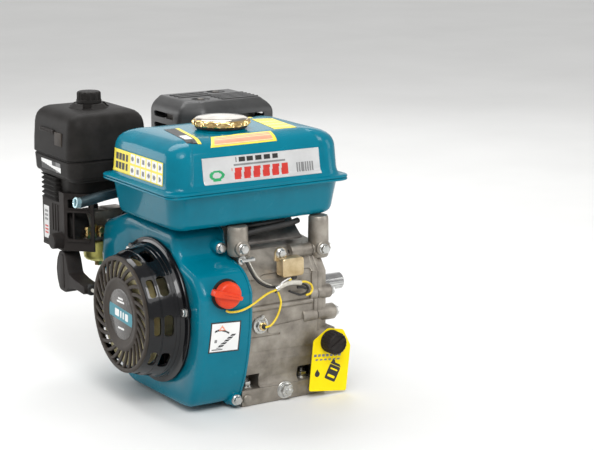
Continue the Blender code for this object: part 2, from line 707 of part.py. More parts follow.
# Carburettor side
def carburettor():
    y, z = CARB_AXIS
    insulator = box((-61.8, y - 18, z - 20), (-48.3, y + 18, z + 20))
    part("intake_insulator", cut(insulator, turned([(12, -63), (12, -47)], along_x(0, y, z), 16)),
         "black_plastic")
    body = turned([(19, -126), (19, -118), (15, -112), (15, -72), (17, -68), (17, -62.1)],
                  along_x(0, y, z), 20)
    block = box((-122, y - 14, z - 14), (-74, y + 14, z + 18))
    stem = turned([(14, z - 19.3), (14, z - 8)], along_z(-106, y), 16)
    join(body, block, stem)
    cut(body, turned([(12, -127), (12, -61)], along_x(0, y, z), 16))
    part("carburettor_body", body, "cast_aluminium")
    bowl = [(4, 124), (6, 130), (14, 132), (18.5, 137), (18.5, z - 19.6)]
    part("float_bowl", turned(bowl, along_z(-106, y), 20), "yellow_zinc")


def levers():
    y, z = CARB_AXIS
    hub = turned([(6, z + 19.5), (6, z + 24)], along_z(-112, y), 12)
    arm = box((-116, y, z + 20), (-108, y + 34, z + 23))
    part("choke_lever", join(hub, arm), "black_plastic", (-112, y, z + 20))
    hub = turned([(6, y + 15.5), (6, y + 23)], along_y(-88, 0, z), 12)
    arm = box((-116, y + 19.6, z - 4), (-88, y + 22, z + 4))
    part("fuel_cock_lever", join(hub, arm), "black_plastic", (-88, y + 16, z))
    outline = [(78, 205), (100, 197.4), (100, 223), (78, 223)]
    part("control_base", prism(outline, -86, -66, along_x()), "zinc_steel")
    outline = [(-66, 223.4), (-66, 228), (-122, 231), (-173, 223), (-174, 214.5), (-122, 223.4)]
    part("throttle_lever", prism(outline, 84, 96, along_y()), "forged_steel", (-76, 90, 226))


def air_duct():
    y, z = CARB_AXIS
    body = box((-152, 166, 160), (-130, 208, 235.6))
    bellows = box((-157, 166, 207), (-128, 214, 235.6))
    elbow = box((-150, y - 8, 158), (-126.3, 180, 196))
    part("air_duct", join(body, bellows, elbow), "black_plastic")


def carburettor_guard():
    outline = [(-156.5, 210), (-156.5, 150), (-130, 123.5), (-127.9, 125.6), (-153.5, 151.2), (-153.5, 210)]
    body = prism(outline, 150, 220)
    cut(body, box((-160, 163, 206.5), (-150, 215, 225)))
    window = basis((-143, 137, 0), (0.7071, -0.7071, 0), (0, 0, 1), (0.7071, 0.7071, 0))
    cut(body, box((-12, 166, -9), (12, 196, 9), window))
    part("carburettor_guard", body, "black_plastic")


def cleaner_ring(amount, height):
    low = (CLEANER_LOW[0] + amount, CLEANER_LOW[1] + amount)
    high = (CLEANER_HIGH[0] - amount, CLEANER_HIGH[1] - amount)
    return [(a, b, height) for a, b in rounded(low, high, max(CLEANER_CORNER - amount, 4), 3)]


def air_cleaner():
    base = loft([cleaner_ring(8, 236), cleaner_ring(3, 239), cleaner_ring(1, CLEANER_SEAM)])
    cut(base, loft([cleaner_ring(7, 240), cleaner_ring(4, CLEANER_SEAM + 1)]))
    part("air_cleaner_base", base, "black_plastic")
    outer = [(0, CLEANER_SEAM + GAP), (2, 305), (6, 314), (15, CLEANER_TOP)]
    cover = loft([cleaner_ring(a, h) for a, h in outer])
    cut(cover, loft([cleaner_ring(a + 3, h) for a, h in ((0, CLEANER_SEAM), (2, 304), (10, 316))]))
    collar = turned([(23, CLEANER_TOP - 2), (23, CLEANER_TOP), (18, CLEANER_TOP + 5)],
                    along_z(*CLEANER_KNOB), 20)
    part("air_cleaner_cover", join(cover, collar), "black_plastic")
    knob = turned([(15, CLEANER_TOP + 5.3), (15, 337), (13, 339)], along_z(*CLEANER_KNOB), 16)
    part("air_cleaner_knob", knob, "black_plastic", (*CLEANER_KNOB, CLEANER_TOP))
    element = prism(rounded((-150, 121), (-85, 206), 16, 3), 241, 306)
    cut(element, prism(rounded((-136, 135), (-99, 192), 8, 2), 240, 298))
    part("air_filter_element", element, "foam")


# Exhaust
def muffler():
    body = prism(rounded((0, 118), (98, 196), 18, 3), 256, 306)
    route = [cylinder_point(49.3, 5, 158), cylinder_point(55, 5, 158), cylinder_point(64, 5, 159),
             (74, 146, 186), (80, 150, 206), (80, 152, 230), (80, 152, 262)]
    part("muffler_body", join(body, cord_solid(route, 13, 2)), "forged_steel")


def guard_ring(amount, height):
    points = [(-12, 126), (11, 105), (110, 105), (110, 200), (102, 208), (-4, 208), (-12, 200)]
    return [(a, b, height) for a, b in inset(points, amount)]


def muffler_guard():
    outer = [(0, 244), (0, 304), (4, 313), (14, MUFFLER_TOP)]
    body = loft([guard_ring(max(a, 0.001), h) for a, h in outer])
    inner = [(2, 243), (2, 303.5), (6, 312), (15, MUFFLER_TOP - 2)]
    cut(body, loft([guard_ring(a, h) for a, h in inner]))
    slots = [box((-20, 140, z), (-5, 190, z + 7)) for z in (282, 296)]
    slots += [box((20, 100, z), (96, 112, z + 7)) for z in (282, 296)]
    cut(body, merged(slots))
    part("muffler_guard", body, "black_plastic")


# Switch, wires and tag
def engine_switch():
    axis = along_y(SWITCH[0], 0, SWITCH[1])
    body = turned([(17, -112.8), (17, -110.3)], axis, 24)
    part("engine_switch", body, "black_plastic")
    knob = turned([(13, -124), (15, -122), (15, -113.1)], axis, 24)
    rib = box((-19, -3, -127), (14, 3, -120), axis @ Matrix.Rotation(math.radians(12), 4, "Z"))
    part("switch_knob", join(knob, rib), "red_plastic", (SWITCH[0], -118, SWITCH[1]))


def wires():
    switch_route = [(-86, -112, 125.5), (-83, -112.8, 123.6), (-76, -113.2, 122.6), (-68, -113.2, 122.9),
                    (-60, -113, 124.6), (-49, -109.6, 127.3), (-35, -103, 130.6), (-22, -97.6, 133.3),
                    (-9, -96, 135.5)]
    part("switch_wire", cord(switch_route, 1.2, 3), "yellow_plastic")
    level_route = [(-27, -97.8, 94), (-20, -98.5, 95.5), (-13, -98, 102), (-8, -97, 110), (-5, -96, 119),
                   (-6, -95, 126), (-8, -94.5, 131.8)]
    part("level_wire", cord(level_route, 1.2, 3), "yellow_plastic")
    earth_route = [(-43, -79, 172), (-43.5, -86, 168), (-42, -92, 160), (-37, -94, 151),
                   (-29, -94, 144), (-19, -93.5, 139), (-9, -92.5, 137.5)]
    part("earth_wire", cord(earth_route, 1.4, 3), "rubber")


def oil_filler_cap():
    axis = along_y(OIL_FILLER[0], 0, OIL_FILLER[1])
    body = turned([(12, -117), (13.5, -115), (13.5, -99.8), (8.5, -99.8), (8.5, -82)], axis, 20)
    part("oil_filler_cap", body, "black_plastic", (OIL_FILLER[0], -107, OIL_FILLER[1]))


def oil_tag():
    outline = [(31, 9), (82, 2), (88, 56), (78, 76.5), (57, 81), (37, 68.5)]
    body = prism(outline, -99.4, -98.4, along_y())
    hole = turned([(9.6, -101), (9.6, -97)], along_y(OIL_FILLER[0], 0, OIL_FILLER[1]), 20)
    part("oil_tag", cut(body, hole), "yellow_plastic")


def build():
    for item in list(bpy.data.objects):
        bpy.data.objects.remove(item)
    crankcase()
    crankcase_side_cover()
    bearings()
    oil_fittings()
    crankshaft_halves()
    camshaft()
    piston()
    piston_pin()
    connecting_rod()
    crank_pin()
    cylinder_head()
    valve_cover()
    valves()
    rocker_arms()
    ignition()
    flywheel_group()
    blower_housing()
    recoil_can()
    recoil_grille()
    recoil_reel()
    starter_pull()
    tank_lower_shell()
    tank_upper_shell()
    fuel_cap()
    fuel_hose()
    carburettor()
    levers()
    air_duct()
    carburettor_guard()
    air_cleaner()
    muffler()
    muffler_guard()
    engine_switch()
    wires()
    oil_filler_cap()
    oil_tag()


build()
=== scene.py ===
"""The looks of a small gasoline engine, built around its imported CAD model.

Sizes are millimetres in the engine's own frame and become metres when a mesh is made.
X runs along the crankshaft (-X is the recoil starter), -Y is the front, +Z is up.
"""
import math

import bmesh
import bpy
from mathutils import Matrix, Vector


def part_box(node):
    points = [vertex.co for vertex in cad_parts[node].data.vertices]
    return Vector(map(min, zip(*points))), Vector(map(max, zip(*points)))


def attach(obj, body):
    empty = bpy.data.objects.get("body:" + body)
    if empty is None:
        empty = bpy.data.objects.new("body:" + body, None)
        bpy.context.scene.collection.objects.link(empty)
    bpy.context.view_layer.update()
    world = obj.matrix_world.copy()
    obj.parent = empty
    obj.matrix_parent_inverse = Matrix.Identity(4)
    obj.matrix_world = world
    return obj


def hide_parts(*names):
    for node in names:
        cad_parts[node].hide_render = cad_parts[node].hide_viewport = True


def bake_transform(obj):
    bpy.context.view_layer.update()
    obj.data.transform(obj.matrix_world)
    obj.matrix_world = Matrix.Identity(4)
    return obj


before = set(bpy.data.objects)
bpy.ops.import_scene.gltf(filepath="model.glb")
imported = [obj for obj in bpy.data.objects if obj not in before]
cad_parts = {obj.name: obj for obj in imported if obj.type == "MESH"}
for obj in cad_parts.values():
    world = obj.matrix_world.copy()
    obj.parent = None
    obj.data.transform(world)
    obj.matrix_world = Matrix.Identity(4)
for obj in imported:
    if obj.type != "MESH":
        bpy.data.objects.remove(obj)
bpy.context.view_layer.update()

MM = 0.001
CRANK_Z = 106.0
TILT = math.radians(25.0)
CYLINDER_DIR = Vector((0.0, math.cos(TILT), math.sin(TILT)))
CYLINDER_SIDE = Vector((0.0, -math.sin(TILT), math.cos(TILT)))


def node_box(node):
    """The lowest and highest corner of a CAD node, in millimetres."""
    low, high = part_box(node)
    return low / MM, high / MM


# Frames: each turns local coordinates into the engine's own
def basis(origin, right, up, out):
    matrix = Matrix((right, up, out)).transposed().to_4x4()
    matrix.translation = Vector(origin)
    return matrix


def along_x(x=0.0, y=0.0, z=0.0):
    return basis((x, y, z), (0, 1, 0), (0, 0, 1), (1, 0, 0))


def along_z(x=0.0, y=0.0, z=0.0):
    return basis((x, y, z), (1, 0, 0), (0, 1, 0), (0, 0, 1))


def to_front(x=0.0, y=0.0, z=0.0):
    """Local z points to the front, -Y."""
    return basis((x, y, z), (1, 0, 0), (0, 0, 1), (0, -1, 0))


def to_left(x=0.0, y=0.0, z=0.0):
    """Local z points to the recoil side, -X."""
    return basis((x, y, z), (0, -1, 0), (0, 0, 1), (-1, 0, 0))


def to_back(x=0.0, y=0.0, z=0.0):
    """Local z points to the cylinder side, +Y."""
    return basis((x, y, z), (-1, 0, 0), (0, 0, 1), (0, 1, 0))


def along_y(x=0.0, y=0.0, z=0.0):
    """Local z is Y, and local x and y are X and Z."""
    return basis((x, y, z), (1, 0, 0), (0, 0, 1), (0, 1, 0))


def along_cylinder(x=0.0, n=0.0):
    origin = Vector((x, 0, CRANK_Z)) + CYLINDER_SIDE * n
    return basis(origin, (1, 0, 0), CYLINDER_SIDE, CYLINDER_DIR)


def across_cylinder(x=0.0, t=0.0):
    origin = Vector((x, 0, CRANK_Z)) + CYLINDER_DIR * t
    return basis(origin, (1, 0, 0), CYLINDER_DIR, CYLINDER_SIDE)


def spun(space, degrees):
    return space @ Matrix.Rotation(math.radians(degrees), 4, "Z")


# Outlines
def circle(radius, sides, height, phase=0.0):
    angles = [phase + math.tau * i / sides for i in range(sides)]
    return [(radius * math.cos(a), radius * math.sin(a), height) for a in angles]


def fluted(radius, depth, height, sides, cut):
    """A circle that dips inwards by up to a depth, where cut(angle) says how far, from 0 to 1."""
    ring = []
    for i in range(sides):
        angle = math.tau * i / sides
        r = radius - depth * cut(angle)
        ring.append((r * math.cos(angle), r * math.sin(angle), height))
    return ring


def lifted(outline, height):
    """A flat outline as a ring of points at one height."""
    return [(a, b, height) for a, b in outline]


def arc(centre, radius, start, end, steps):
    points = []
    for i in range(steps + 1):
        angle = math.radians(start + (end - start) * i / steps)
        points.append((centre[0] + radius * math.cos(angle), centre[1] + radius * math.sin(angle)))
    return points


def rounded(low, high, radius, steps=6):
    x0, y0, x1, y1 = low[0] + radius, low[1] + radius, high[0] - radius, high[1] - radius
    points = arc((x1, y1), radius, 0, 90, steps) + arc((x0, y1), radius, 90, 180, steps)
    return points + arc((x0, y0), radius, 180, 270, steps) + arc((x1, y0), radius, 270, 360, steps)


def filleted(points, radius, steps=5):
    """Rounds each corner of an outline with a smooth bend that starts a radius before it."""
    corners = [Vector(p) for p in points]
    smooth = []
    for i, corner in enumerate(corners):
        before = corners[i - 1] - corner
        after = corners[(i + 1) % len(corners)] - corner
        reach = min(radius, before.length * 0.48, after.length * 0.48)
        start = corner + before.normalized() * reach
        end = corner + after.normalized() * reach
        for k in range(steps + 1):
            t = k / steps
            smooth.append(tuple(start * (1 - t) ** 2 + corner * 2 * t * (1 - t) + end * t * t))
    return smooth


def inset(outline, amount):
    """Moves each edge of a counter-clockwise outline inwards."""
    points = [Vector(p) for p in outline]
    moved = []
    for i, point in enumerate(points):
        before = (point - points[i - 1]).normalized()
        after = (points[(i + 1) % len(points)] - point).normalized()
        normal = Vector((-before.y, before.x)) + Vector((-after.y, after.x))
        moved.append(tuple(point + normal * (2 * amount / normal.length_squared)))
    return moved


def put(name, data):
    """Places a new object with this data in the scene."""
    made = bpy.data.objects.new(name, data)
    bpy.context.scene.collection.objects.link(made)
    return made


def finished(bm, name):
    mesh = bpy.data.meshes.new(name)
    bm.to_mesh(mesh)
    bm.free()
    return mesh


# Shapes: each returns a mesh in metres
BEVEL_EDGES_OVER = math.radians(28)


def shape(bm, space, bevel=0.0, segments=2):
    bmesh.ops.transform(bm, matrix=Matrix.Scale(MM, 4) @ space, verts=bm.verts)
    bmesh.ops.recalc_face_normals(bm, faces=bm.faces)
    if bevel:
        folds = [e for e in bm.edges if len(e.link_faces) == 2]
        sharp = [e for e in folds if e.calc_face_angle() > BEVEL_EDGES_OVER]
        bmesh.ops.bevel(bm, geom=sharp, offset=bevel * MM, segments=segments, profile=0.5, affect="EDGES",
                clamp_overlap=True)
    return finished(bm, "shape")


def loft(rings, space=None, closed=False, bevel=0.0, segments=2):
    """Joins rings of equally many points. A closed loft returns to its first ring."""
    bm = bmesh.new()
    loops = [[bm.verts.new(p) for p in ring] for ring in rings]
    pairs = list(zip(loops, loops[1:]))
    if closed:
        pairs.append((loops[-1], loops[0]))
    for low, high in pairs:
        for i in range(len(low)):
            j = (i + 1) % len(low)
            bm.faces.new((low[i], low[j], high[j], high[i]))
    if not closed:
        bm.faces.new(loops[0][::-1])
        bm.faces.new(loops[-1])
    return shape(bm, space or Matrix.Identity(4), bevel, segments)


def prism(outline, low, high, space=None, bevel=0.0, segments=2):
    return loft([lifted(outline, h) for h in (low, high)], space, False, bevel, segments)


def block(low, high, space=None, bevel=0.8, segments=2):
    outline = [(low[0], low[1]), (high[0], low[1]), (high[0], high[1]), (low[0], high[1])]
    return prism(outline, low[2], high[2], space, bevel, segments)


def turned(profile, space, sides=48, bevel=0.0, phase=0.0):
    """A solid of revolution about local z, from (radius, height) pairs."""
    return loft([circle(r, sides, h, phase) for r, h in profile], space, False, bevel)


def hoop(profile, space, sides=64):
    """A hollow solid of revolution about local z, from a closed profile."""
    return loft([circle(r, sides, h) for r, h in profile], space, closed=True)


def pipe(points, radius, steps=8, resolution=4):
    """A round cord or tube along a smooth route through the points."""
    p = [Vector(q) for q in points]
    p = [2 * p[0] - p[1]] + p + [2 * p[-1] - p[-2]]
    route = []
    for a, b, c, d in zip(p, p[1:], p[2:], p[3:]):
        for i in range(steps):
            t = i / steps
            curl = (2 * a - 5 * b + 4 * c - d) * t * t + (3 * b - a - 3 * c + d) * t ** 3
            route.append(b + ((c - a) * t + curl) / 2)
    route.append(p[-2])
    curve = bpy.data.curves.new("route", "CURVE")
    curve.dimensions = "3D"
    curve.bevel_depth = radius * MM
    curve.bevel_resolution = resolution
    curve.use_fill_caps = True
    spline = curve.splines.new("POLY")
    spline.points.add(len(route) - 1)
    for point, place in zip(spline.points, route):
        point.co = (*(place * MM), 1.0)
    item = bpy.data.objects.new("route", curve)
    mesh = bpy.data.meshes.new_from_object(item)
    bpy.data.objects.remove(item)
    return mesh


def joined(meshes):
    """Puts separate shapes in one mesh, without merging them."""
    bm = bmesh.new()
    for mesh in meshes:
        bm.from_mesh(mesh)
    return finished(bm, "shapes")


def carve(mesh, cutters):
    """Cuts shapes out of a mesh."""
    body = put("body", mesh)
    tool = put("tool", joined(cutters))
    modifier = body.modifiers.new("cut", "BOOLEAN")
    modifier.operation = "DIFFERENCE"
    modifier.solver = "EXACT"
    modifier.object = tool
    depsgraph = bpy.context.evaluated_depsgraph_get()
    made = bpy.data.meshes.new_from_object(body.evaluated_get(depsgraph))
    for item in (body, tool):
        bpy.data.objects.remove(item)
    return made


def piece(name, parts, body="root", stands_for=(), angle=38):
    """One visible piece, from (paint, mesh) pairs. It rides on a CAD body."""
    bm = bmesh.new()
    paints = []
    for paint, mesh in parts:
        if paint not in paints:
            paints.append(paint)
        first = len(bm.faces)
        bm.from_mesh(mesh)
        bm.faces.ensure_lookup_table()
        for face in bm.faces[first:]:
            face.material_index = paints.index(paint)
            face.smooth = True
    mesh = finished(bm, name)
    for paint in paints:
        mesh.materials.append(MATERIALS[paint])
    mesh.set_sharp_from_angle(angle=math.radians(angle))
    made = put(name, mesh)
    if body:
        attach(made, body)
    if stands_for:
        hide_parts(*stands_for)
    return made


# Materials
MATERIALS = {}


def surface(name, dark, light, rough, metallic=0.0, patch=60.0, grain=900.0, bump=0.15,
            relief=0.2, coat=0.0, detail=4.0, shine=0.5):
    """A material whose colour, roughness and fine relief come from noise over the surface."""
    made = bpy.data.materials.new(name)
    made.use_nodes = True
    nodes, links = made.node_tree.nodes, made.node_tree.links
    shader = nodes["Principled BSDF"]
    place = nodes.new("ShaderNodeTexCoord")

    def noise(scale, levels):
        node = nodes.new("ShaderNodeTexNoise")
        node.inputs["Scale"].default_value = scale
        node.inputs["Detail"].default_value = levels
        links.new(place.outputs["Object"], node.inputs["Vector"])
        return node

    blotch = noise(patch, detail)
    blotch.inputs["Roughness"].default_value = 0.6
    ramp = nodes.new("ShaderNodeValToRGB")
    for element, position, colour in zip(ramp.color_ramp.elements, (0.3, 0.7), (dark, light)):
        element.position = position
        element.color = (*colour, 1.0)
    links.new(blotch.outputs["Fac"], ramp.inputs["Fac"])
    links.new(ramp.outputs["Color"], shader.inputs["Base Color"])
    fine = noise(grain, 3.0)
    spread = nodes.new("ShaderNodeMapRange")
    spread.inputs["To Min"].default_value, spread.inputs["To Max"].default_value = rough
    links.new(blotch.outputs["Fac"], spread.inputs["Value"])
    links.new(spread.outputs["Result"], shader.inputs["Roughness"])
    height = nodes.new("ShaderNodeBump")
    height.inputs["Strength"].default_value = bump
    height.inputs["Distance"].default_value = relief * MM
    links.new(fine.outputs["Fac"], height.inputs["Height"])
    links.new(height.outputs["Normal"], shader.inputs["Normal"])
    shader.inputs["Metallic"].default_value = metallic
    shader.inputs["Specular IOR Level"].default_value = shine
    if coat:
        shader.inputs["Coat Weight"].default_value = coat
        shader.inputs["Coat Roughness"].default_value = 0.06
    MATERIALS[name] = made


# Name, dark and light colour, least and most roughness, then metallic, patch, grain, bump,
# relief, coat, detail and shine, as far as they differ from the defaults of surface()
FINISHES = [
    ("teal_paint", (0.0, 0.150, 0.220), (0.0, 0.176, 0.255), (0.2, 0.32),
     0.0, 25, 200, 0.02, 0.3, 0.34, 4.0, 0.05),
    ("cast_aluminium", (0.19, 0.168, 0.142), (0.42, 0.385, 0.335), (0.34, 0.56),
     0.75, 45, 1100, 0.55, 0.35, 0.0, 8.0),
    ("cast_dark", (0.10, 0.092, 0.085), (0.22, 0.205, 0.19), (0.45, 0.65), 0.7, 50, 1000, 0.5, 0.3),
    ("forged_steel", (0.18, 0.18, 0.18), (0.32, 0.31, 0.30), (0.28, 0.5), 1.0, 90, 1500, 0.2, 0.1),
    ("polished_steel", (0.50, 0.50, 0.49), (0.66, 0.66, 0.65), (0.12, 0.26), 1.0, 90, 1800, 0.1, 0.05),
    ("zinc_steel", (0.50, 0.50, 0.48), (0.66, 0.66, 0.64), (0.22, 0.36), 1.0, 160, 1600, 0.2, 0.1),
    ("pressed_zinc", (0.34, 0.34, 0.33), (0.42, 0.42, 0.41), (0.34, 0.44), 0.9, 30, 1400, 0.15, 0.1),
    ("yellow_zinc", (0.44, 0.32, 0.16), (0.74, 0.60, 0.38), (0.25, 0.42), 0.8, 50, 1300, 0.2, 0.1),
    ("bowl_zinc", (0.42, 0.38, 0.09), (0.62, 0.60, 0.20), (0.3, 0.45), 0.6, 60, 1300, 0.2, 0.1),
    ("brass", (0.55, 0.38, 0.14), (0.78, 0.60, 0.28), (0.2, 0.38), 1.0, 120, 1500, 0.15, 0.1),
    ("lever_steel", (0.05, 0.075, 0.085), (0.09, 0.12, 0.135), (0.25, 0.35), 0.7, 60, 1200, 0.1, 0.08),
    ("lever_tip", (0.35, 0.55, 0.60), (0.55, 0.72, 0.76), (0.2, 0.3), 0.6, 80, 900, 0.05, 0.05),
    # Fuel cap chrome: the plated metal's colour, with a painted brown reflection in its warm dark tone
    ("chrome_with_painted_reflection", (0.46, 0.40, 0.32), (0.80, 0.77, 0.70), (0.05, 0.12), 1.0, 40, 900, 0.06, 0.1),
    ("gilt", (0.72, 0.46, 0.16), (0.86, 0.68, 0.36), (0.08, 0.16), 1.0, 120, 900, 0.1, 0.1),
    ("gloss_black", (0.003, 0.003, 0.004), (0.008, 0.008, 0.009), (0.12, 0.22),
     0.0, 60, 600, 0.05, 0.15, 0.6, 4.0, 0.1),
    ("black_plastic", (0.014, 0.013, 0.012), (0.024, 0.022, 0.021), (0.44, 0.56),
     0.0, 60, 1700, 0.35, 0.12, 0.0, 4.0, 0.1),
    ("guard_black", (0.028, 0.028, 0.028), (0.044, 0.044, 0.044), (0.36, 0.46),
     0.0, 60, 1700, 0.35, 0.12, 0.0, 4.0, 0.55),
    ("soft_black", (0.018, 0.015, 0.014), (0.030, 0.026, 0.024), (0.44, 0.56),
     0.0, 60, 1500, 0.3, 0.12, 0.0, 4.0, 0.12),
    ("grille_plastic", (0.034, 0.027, 0.022), (0.054, 0.044, 0.036), (0.42, 0.58),
     0.0, 80, 1500, 0.3, 0.12, 0.0, 4.0, 0.2),
    ("brown_disc", (0.035, 0.03, 0.026), (0.055, 0.047, 0.04), (0.22, 0.32), 0.0, 60, 900, 0.05, 0.05, 0.3),
    ("rubber", (0.010, 0.010, 0.010), (0.022, 0.021, 0.020), (0.5, 0.7), 0.0, 80, 1300, 0.25, 0.1),
    ("foam", (0.04, 0.038, 0.035), (0.11, 0.10, 0.09), (0.9, 1.0), 0.0, 700, 900, 1.0, 0.8),
    # Reel khaki: the part's own colour, made lighter as painted light to lift the shade inside the can
    # behind the grille
    ("olive_with_painted_light", (0.62, 0.54, 0.28), (0.86, 0.78, 0.50), (0.35, 0.55), 0.3, 60, 1200, 0.2, 0.1),
    ("red_plastic", (0.64, 0.040, 0.010), (0.76, 0.060, 0.014), (0.28, 0.4),
     0.0, 70, 1300, 0.12, 0.08, 0.0, 4.0, 0.3),
    ("yellow_wire", (0.72, 0.50, 0.02), (0.88, 0.66, 0.04), (0.3, 0.42), 0.0, 200, 900, 0.1, 0.05),
    ("tag_yellow", (0.92, 0.70, 0.006), (0.97, 0.76, 0.010), (0.32, 0.42),
     0.0, 60, 900, 0.06, 0.05, 0.0, 4.0, 0.08),
    ("ceramic", (0.78, 0.77, 0.72), (0.88, 0.87, 0.84), (0.1, 0.2), 0.0, 60, 900, 0.05, 0.05, 0.6),
    ("rope", (0.50, 0.48, 0.42), (0.82, 0.80, 0.74), (0.8, 0.95), 0.0, 900, 1400, 0.9, 0.5),
    ("clear_sleeve", (0.46, 0.43, 0.36), (0.62, 0.60, 0.54), (0.15, 0.3), 0.0, 200, 900, 0.1, 0.1, 0.5),
    ("paper_silver", (0.56, 0.56, 0.56), (0.68, 0.68, 0.68), (0.25, 0.35), 0.3, 30, 900, 0.04, 0.05),
    ("ink_white", (0.78, 0.78, 0.77), (0.86, 0.86, 0.85), (0.3, 0.4), 0.0, 40, 900, 0.04, 0.05),
    ("floor", (0.74, 0.74, 0.73), (0.78, 0.78, 0.77), (0.6, 0.75), 0.0, 3, 40, 0.02, 0.3),
]
INKS = [
    ("black_ink_and_painted_shade", (0.012, 0.012, 0.012), (0.02, 0.02, 0.02), (0.35, 0.45)),
    ("ink_red", (0.50, 0.02, 0.015), (0.60, 0.035, 0.02), (0.3, 0.4)),
    ("ink_rose", (0.78, 0.28, 0.17), (0.86, 0.36, 0.22), (0.3, 0.4)),
    ("ink_yellow", (0.86, 0.70, 0.05), (0.92, 0.78, 0.08), (0.3, 0.4)),
    ("ink_cream", (0.84, 0.74, 0.30), (0.90, 0.80, 0.38), (0.3, 0.4)),
    ("ink_teal", (0.02, 0.20, 0.26), (0.03, 0.25, 0.32), (0.3, 0.42)),
    ("ink_green", (0.01, 0.30, 0.10), (0.02, 0.38, 0.14), (0.3, 0.42)),
    ("ink_grey", (0.16, 0.16, 0.16), (0.24, 0.24, 0.24), (0.35, 0.5)),
]


def make_materials():
    for finish in FINISHES:
        surface(*finish)
    for ink in INKS:
        surface(*ink, bump=0.05, relief=0.05)


CAD_PAINTS = {
    "crankcase": "cast_aluminium", "crankcase_side_cover": "cast_aluminium", "cylinder_head": "cast_dark",
    "piston": "cast_aluminium", "connecting_rod": "cast_aluminium", "flywheel": "cast_aluminium",
    "flywheel_side_bearing": "polished_steel", "pto_side_bearing": "polished_steel",
    "flywheel_nut": "zinc_steel", "starter_cup": "olive_with_painted_light", "cooling_fan": "black_plastic",
    "ignition_coil": "black_plastic", "muffler_body": "cast_dark",
}


def paint_cad_nodes():
    """Gives each CAD node its finish; the running gear that isn't listed is forged steel."""
    for name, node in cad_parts.items():
        node.data.materials.clear()
        node.data.materials.append(MATERIALS[CAD_PAINTS.get(name, "forged_steel")])


# Small fasteners
def bolt(space, size=10.0, height=5.0, washer=None, stud=0.0, paint="zinc_steel"):
    """A flanged hexagon bolt head. Size is about its width across the flats."""
    base = 0.0
    parts = []
    if washer:
        ring = [(washer - 0.3, 0), (washer, 0.3), (washer, 1.2), (washer - 0.3, 1.5)]
        parts.append((paint, turned(ring, space, 40)))
        base = 1.5
    top = base + height
    flange = [(size * 0.62, base), (size * 0.62, base + 0.5), (size * 0.5, base + 1.4)]
    hexagon = [(size * 0.56, base + 0.8), (size * 0.56, top - 0.6), (size * 0.47, top)]
    parts.append((paint, turned(flange, space, 32)))
    parts.append((paint, turned(hexagon, space, 6, 0.15)))
    if stud:
        thread = [(size * 0.3 - 0.25 * (i % 2), top - 0.2 + 0.4 * i) for i in range(int(stud / 0.4))]
        thread.append((size * 0.22, top + stud + 0.2))
        parts.append(("forged_steel", turned(thread, space, 24)))
    return parts


def screw(space, radius=3.5, height=2.4, paint="zinc_steel"):
    """A pan head screw with a cross recess."""
    head = turned([(radius, 0), (radius, height * 0.5), (radius * 0.8, height * 0.85),
            (radius * 0.5, height)], space, 32)
    arms = [block((-radius * 0.6, -radius * 0.13, height * 0.45), (radius * 0.6, radius * 0.13, height + 1),
                  spun(space, a), 0) for a in (20, 110)]
    return [(paint, carve(head, arms))]


# Fuel tank
TANK_TOP = 308.8
FILLER_NECK = (-30.5, -8.0)
DENT_DEPTH = 2.5
DENT_STEPS = ((3.5, 0.15), (5.4, 0.85), (7.0, 1.0))


def tank_ring(amount, height, radius, dent=0.0):
    """A round-cornered rectangle with shallow panels in its front and back faces."""
    low, high = node_box("tank_upper_shell")
    x0, y0 = low.x + amount + radius, low.y + amount + radius
    x1, y1 = high.x - amount - radius, high.y - amount - radius
    front, back = y0 - radius, y1 + radius
    steps = 8
    points = arc((x1, y1), radius, 0, 90, steps)
    points += [(x1 - e, back - dent * s) for e, s in DENT_STEPS]
    points += [(x0 + e, back - dent * s) for e, s in DENT_STEPS[::-1]]
    points += arc((x0, y1), radius, 90, 180, steps) + arc((x0, y0), radius, 180, 270, steps)
    points += [(x0 + e, front + dent * s) for e, s in DENT_STEPS]
    points += [(x1 - e, front + dent * s) for e, s in DENT_STEPS[::-1]]
    points += arc((x1, y0), radius, 270, 360, steps)
    return lifted(points, height)


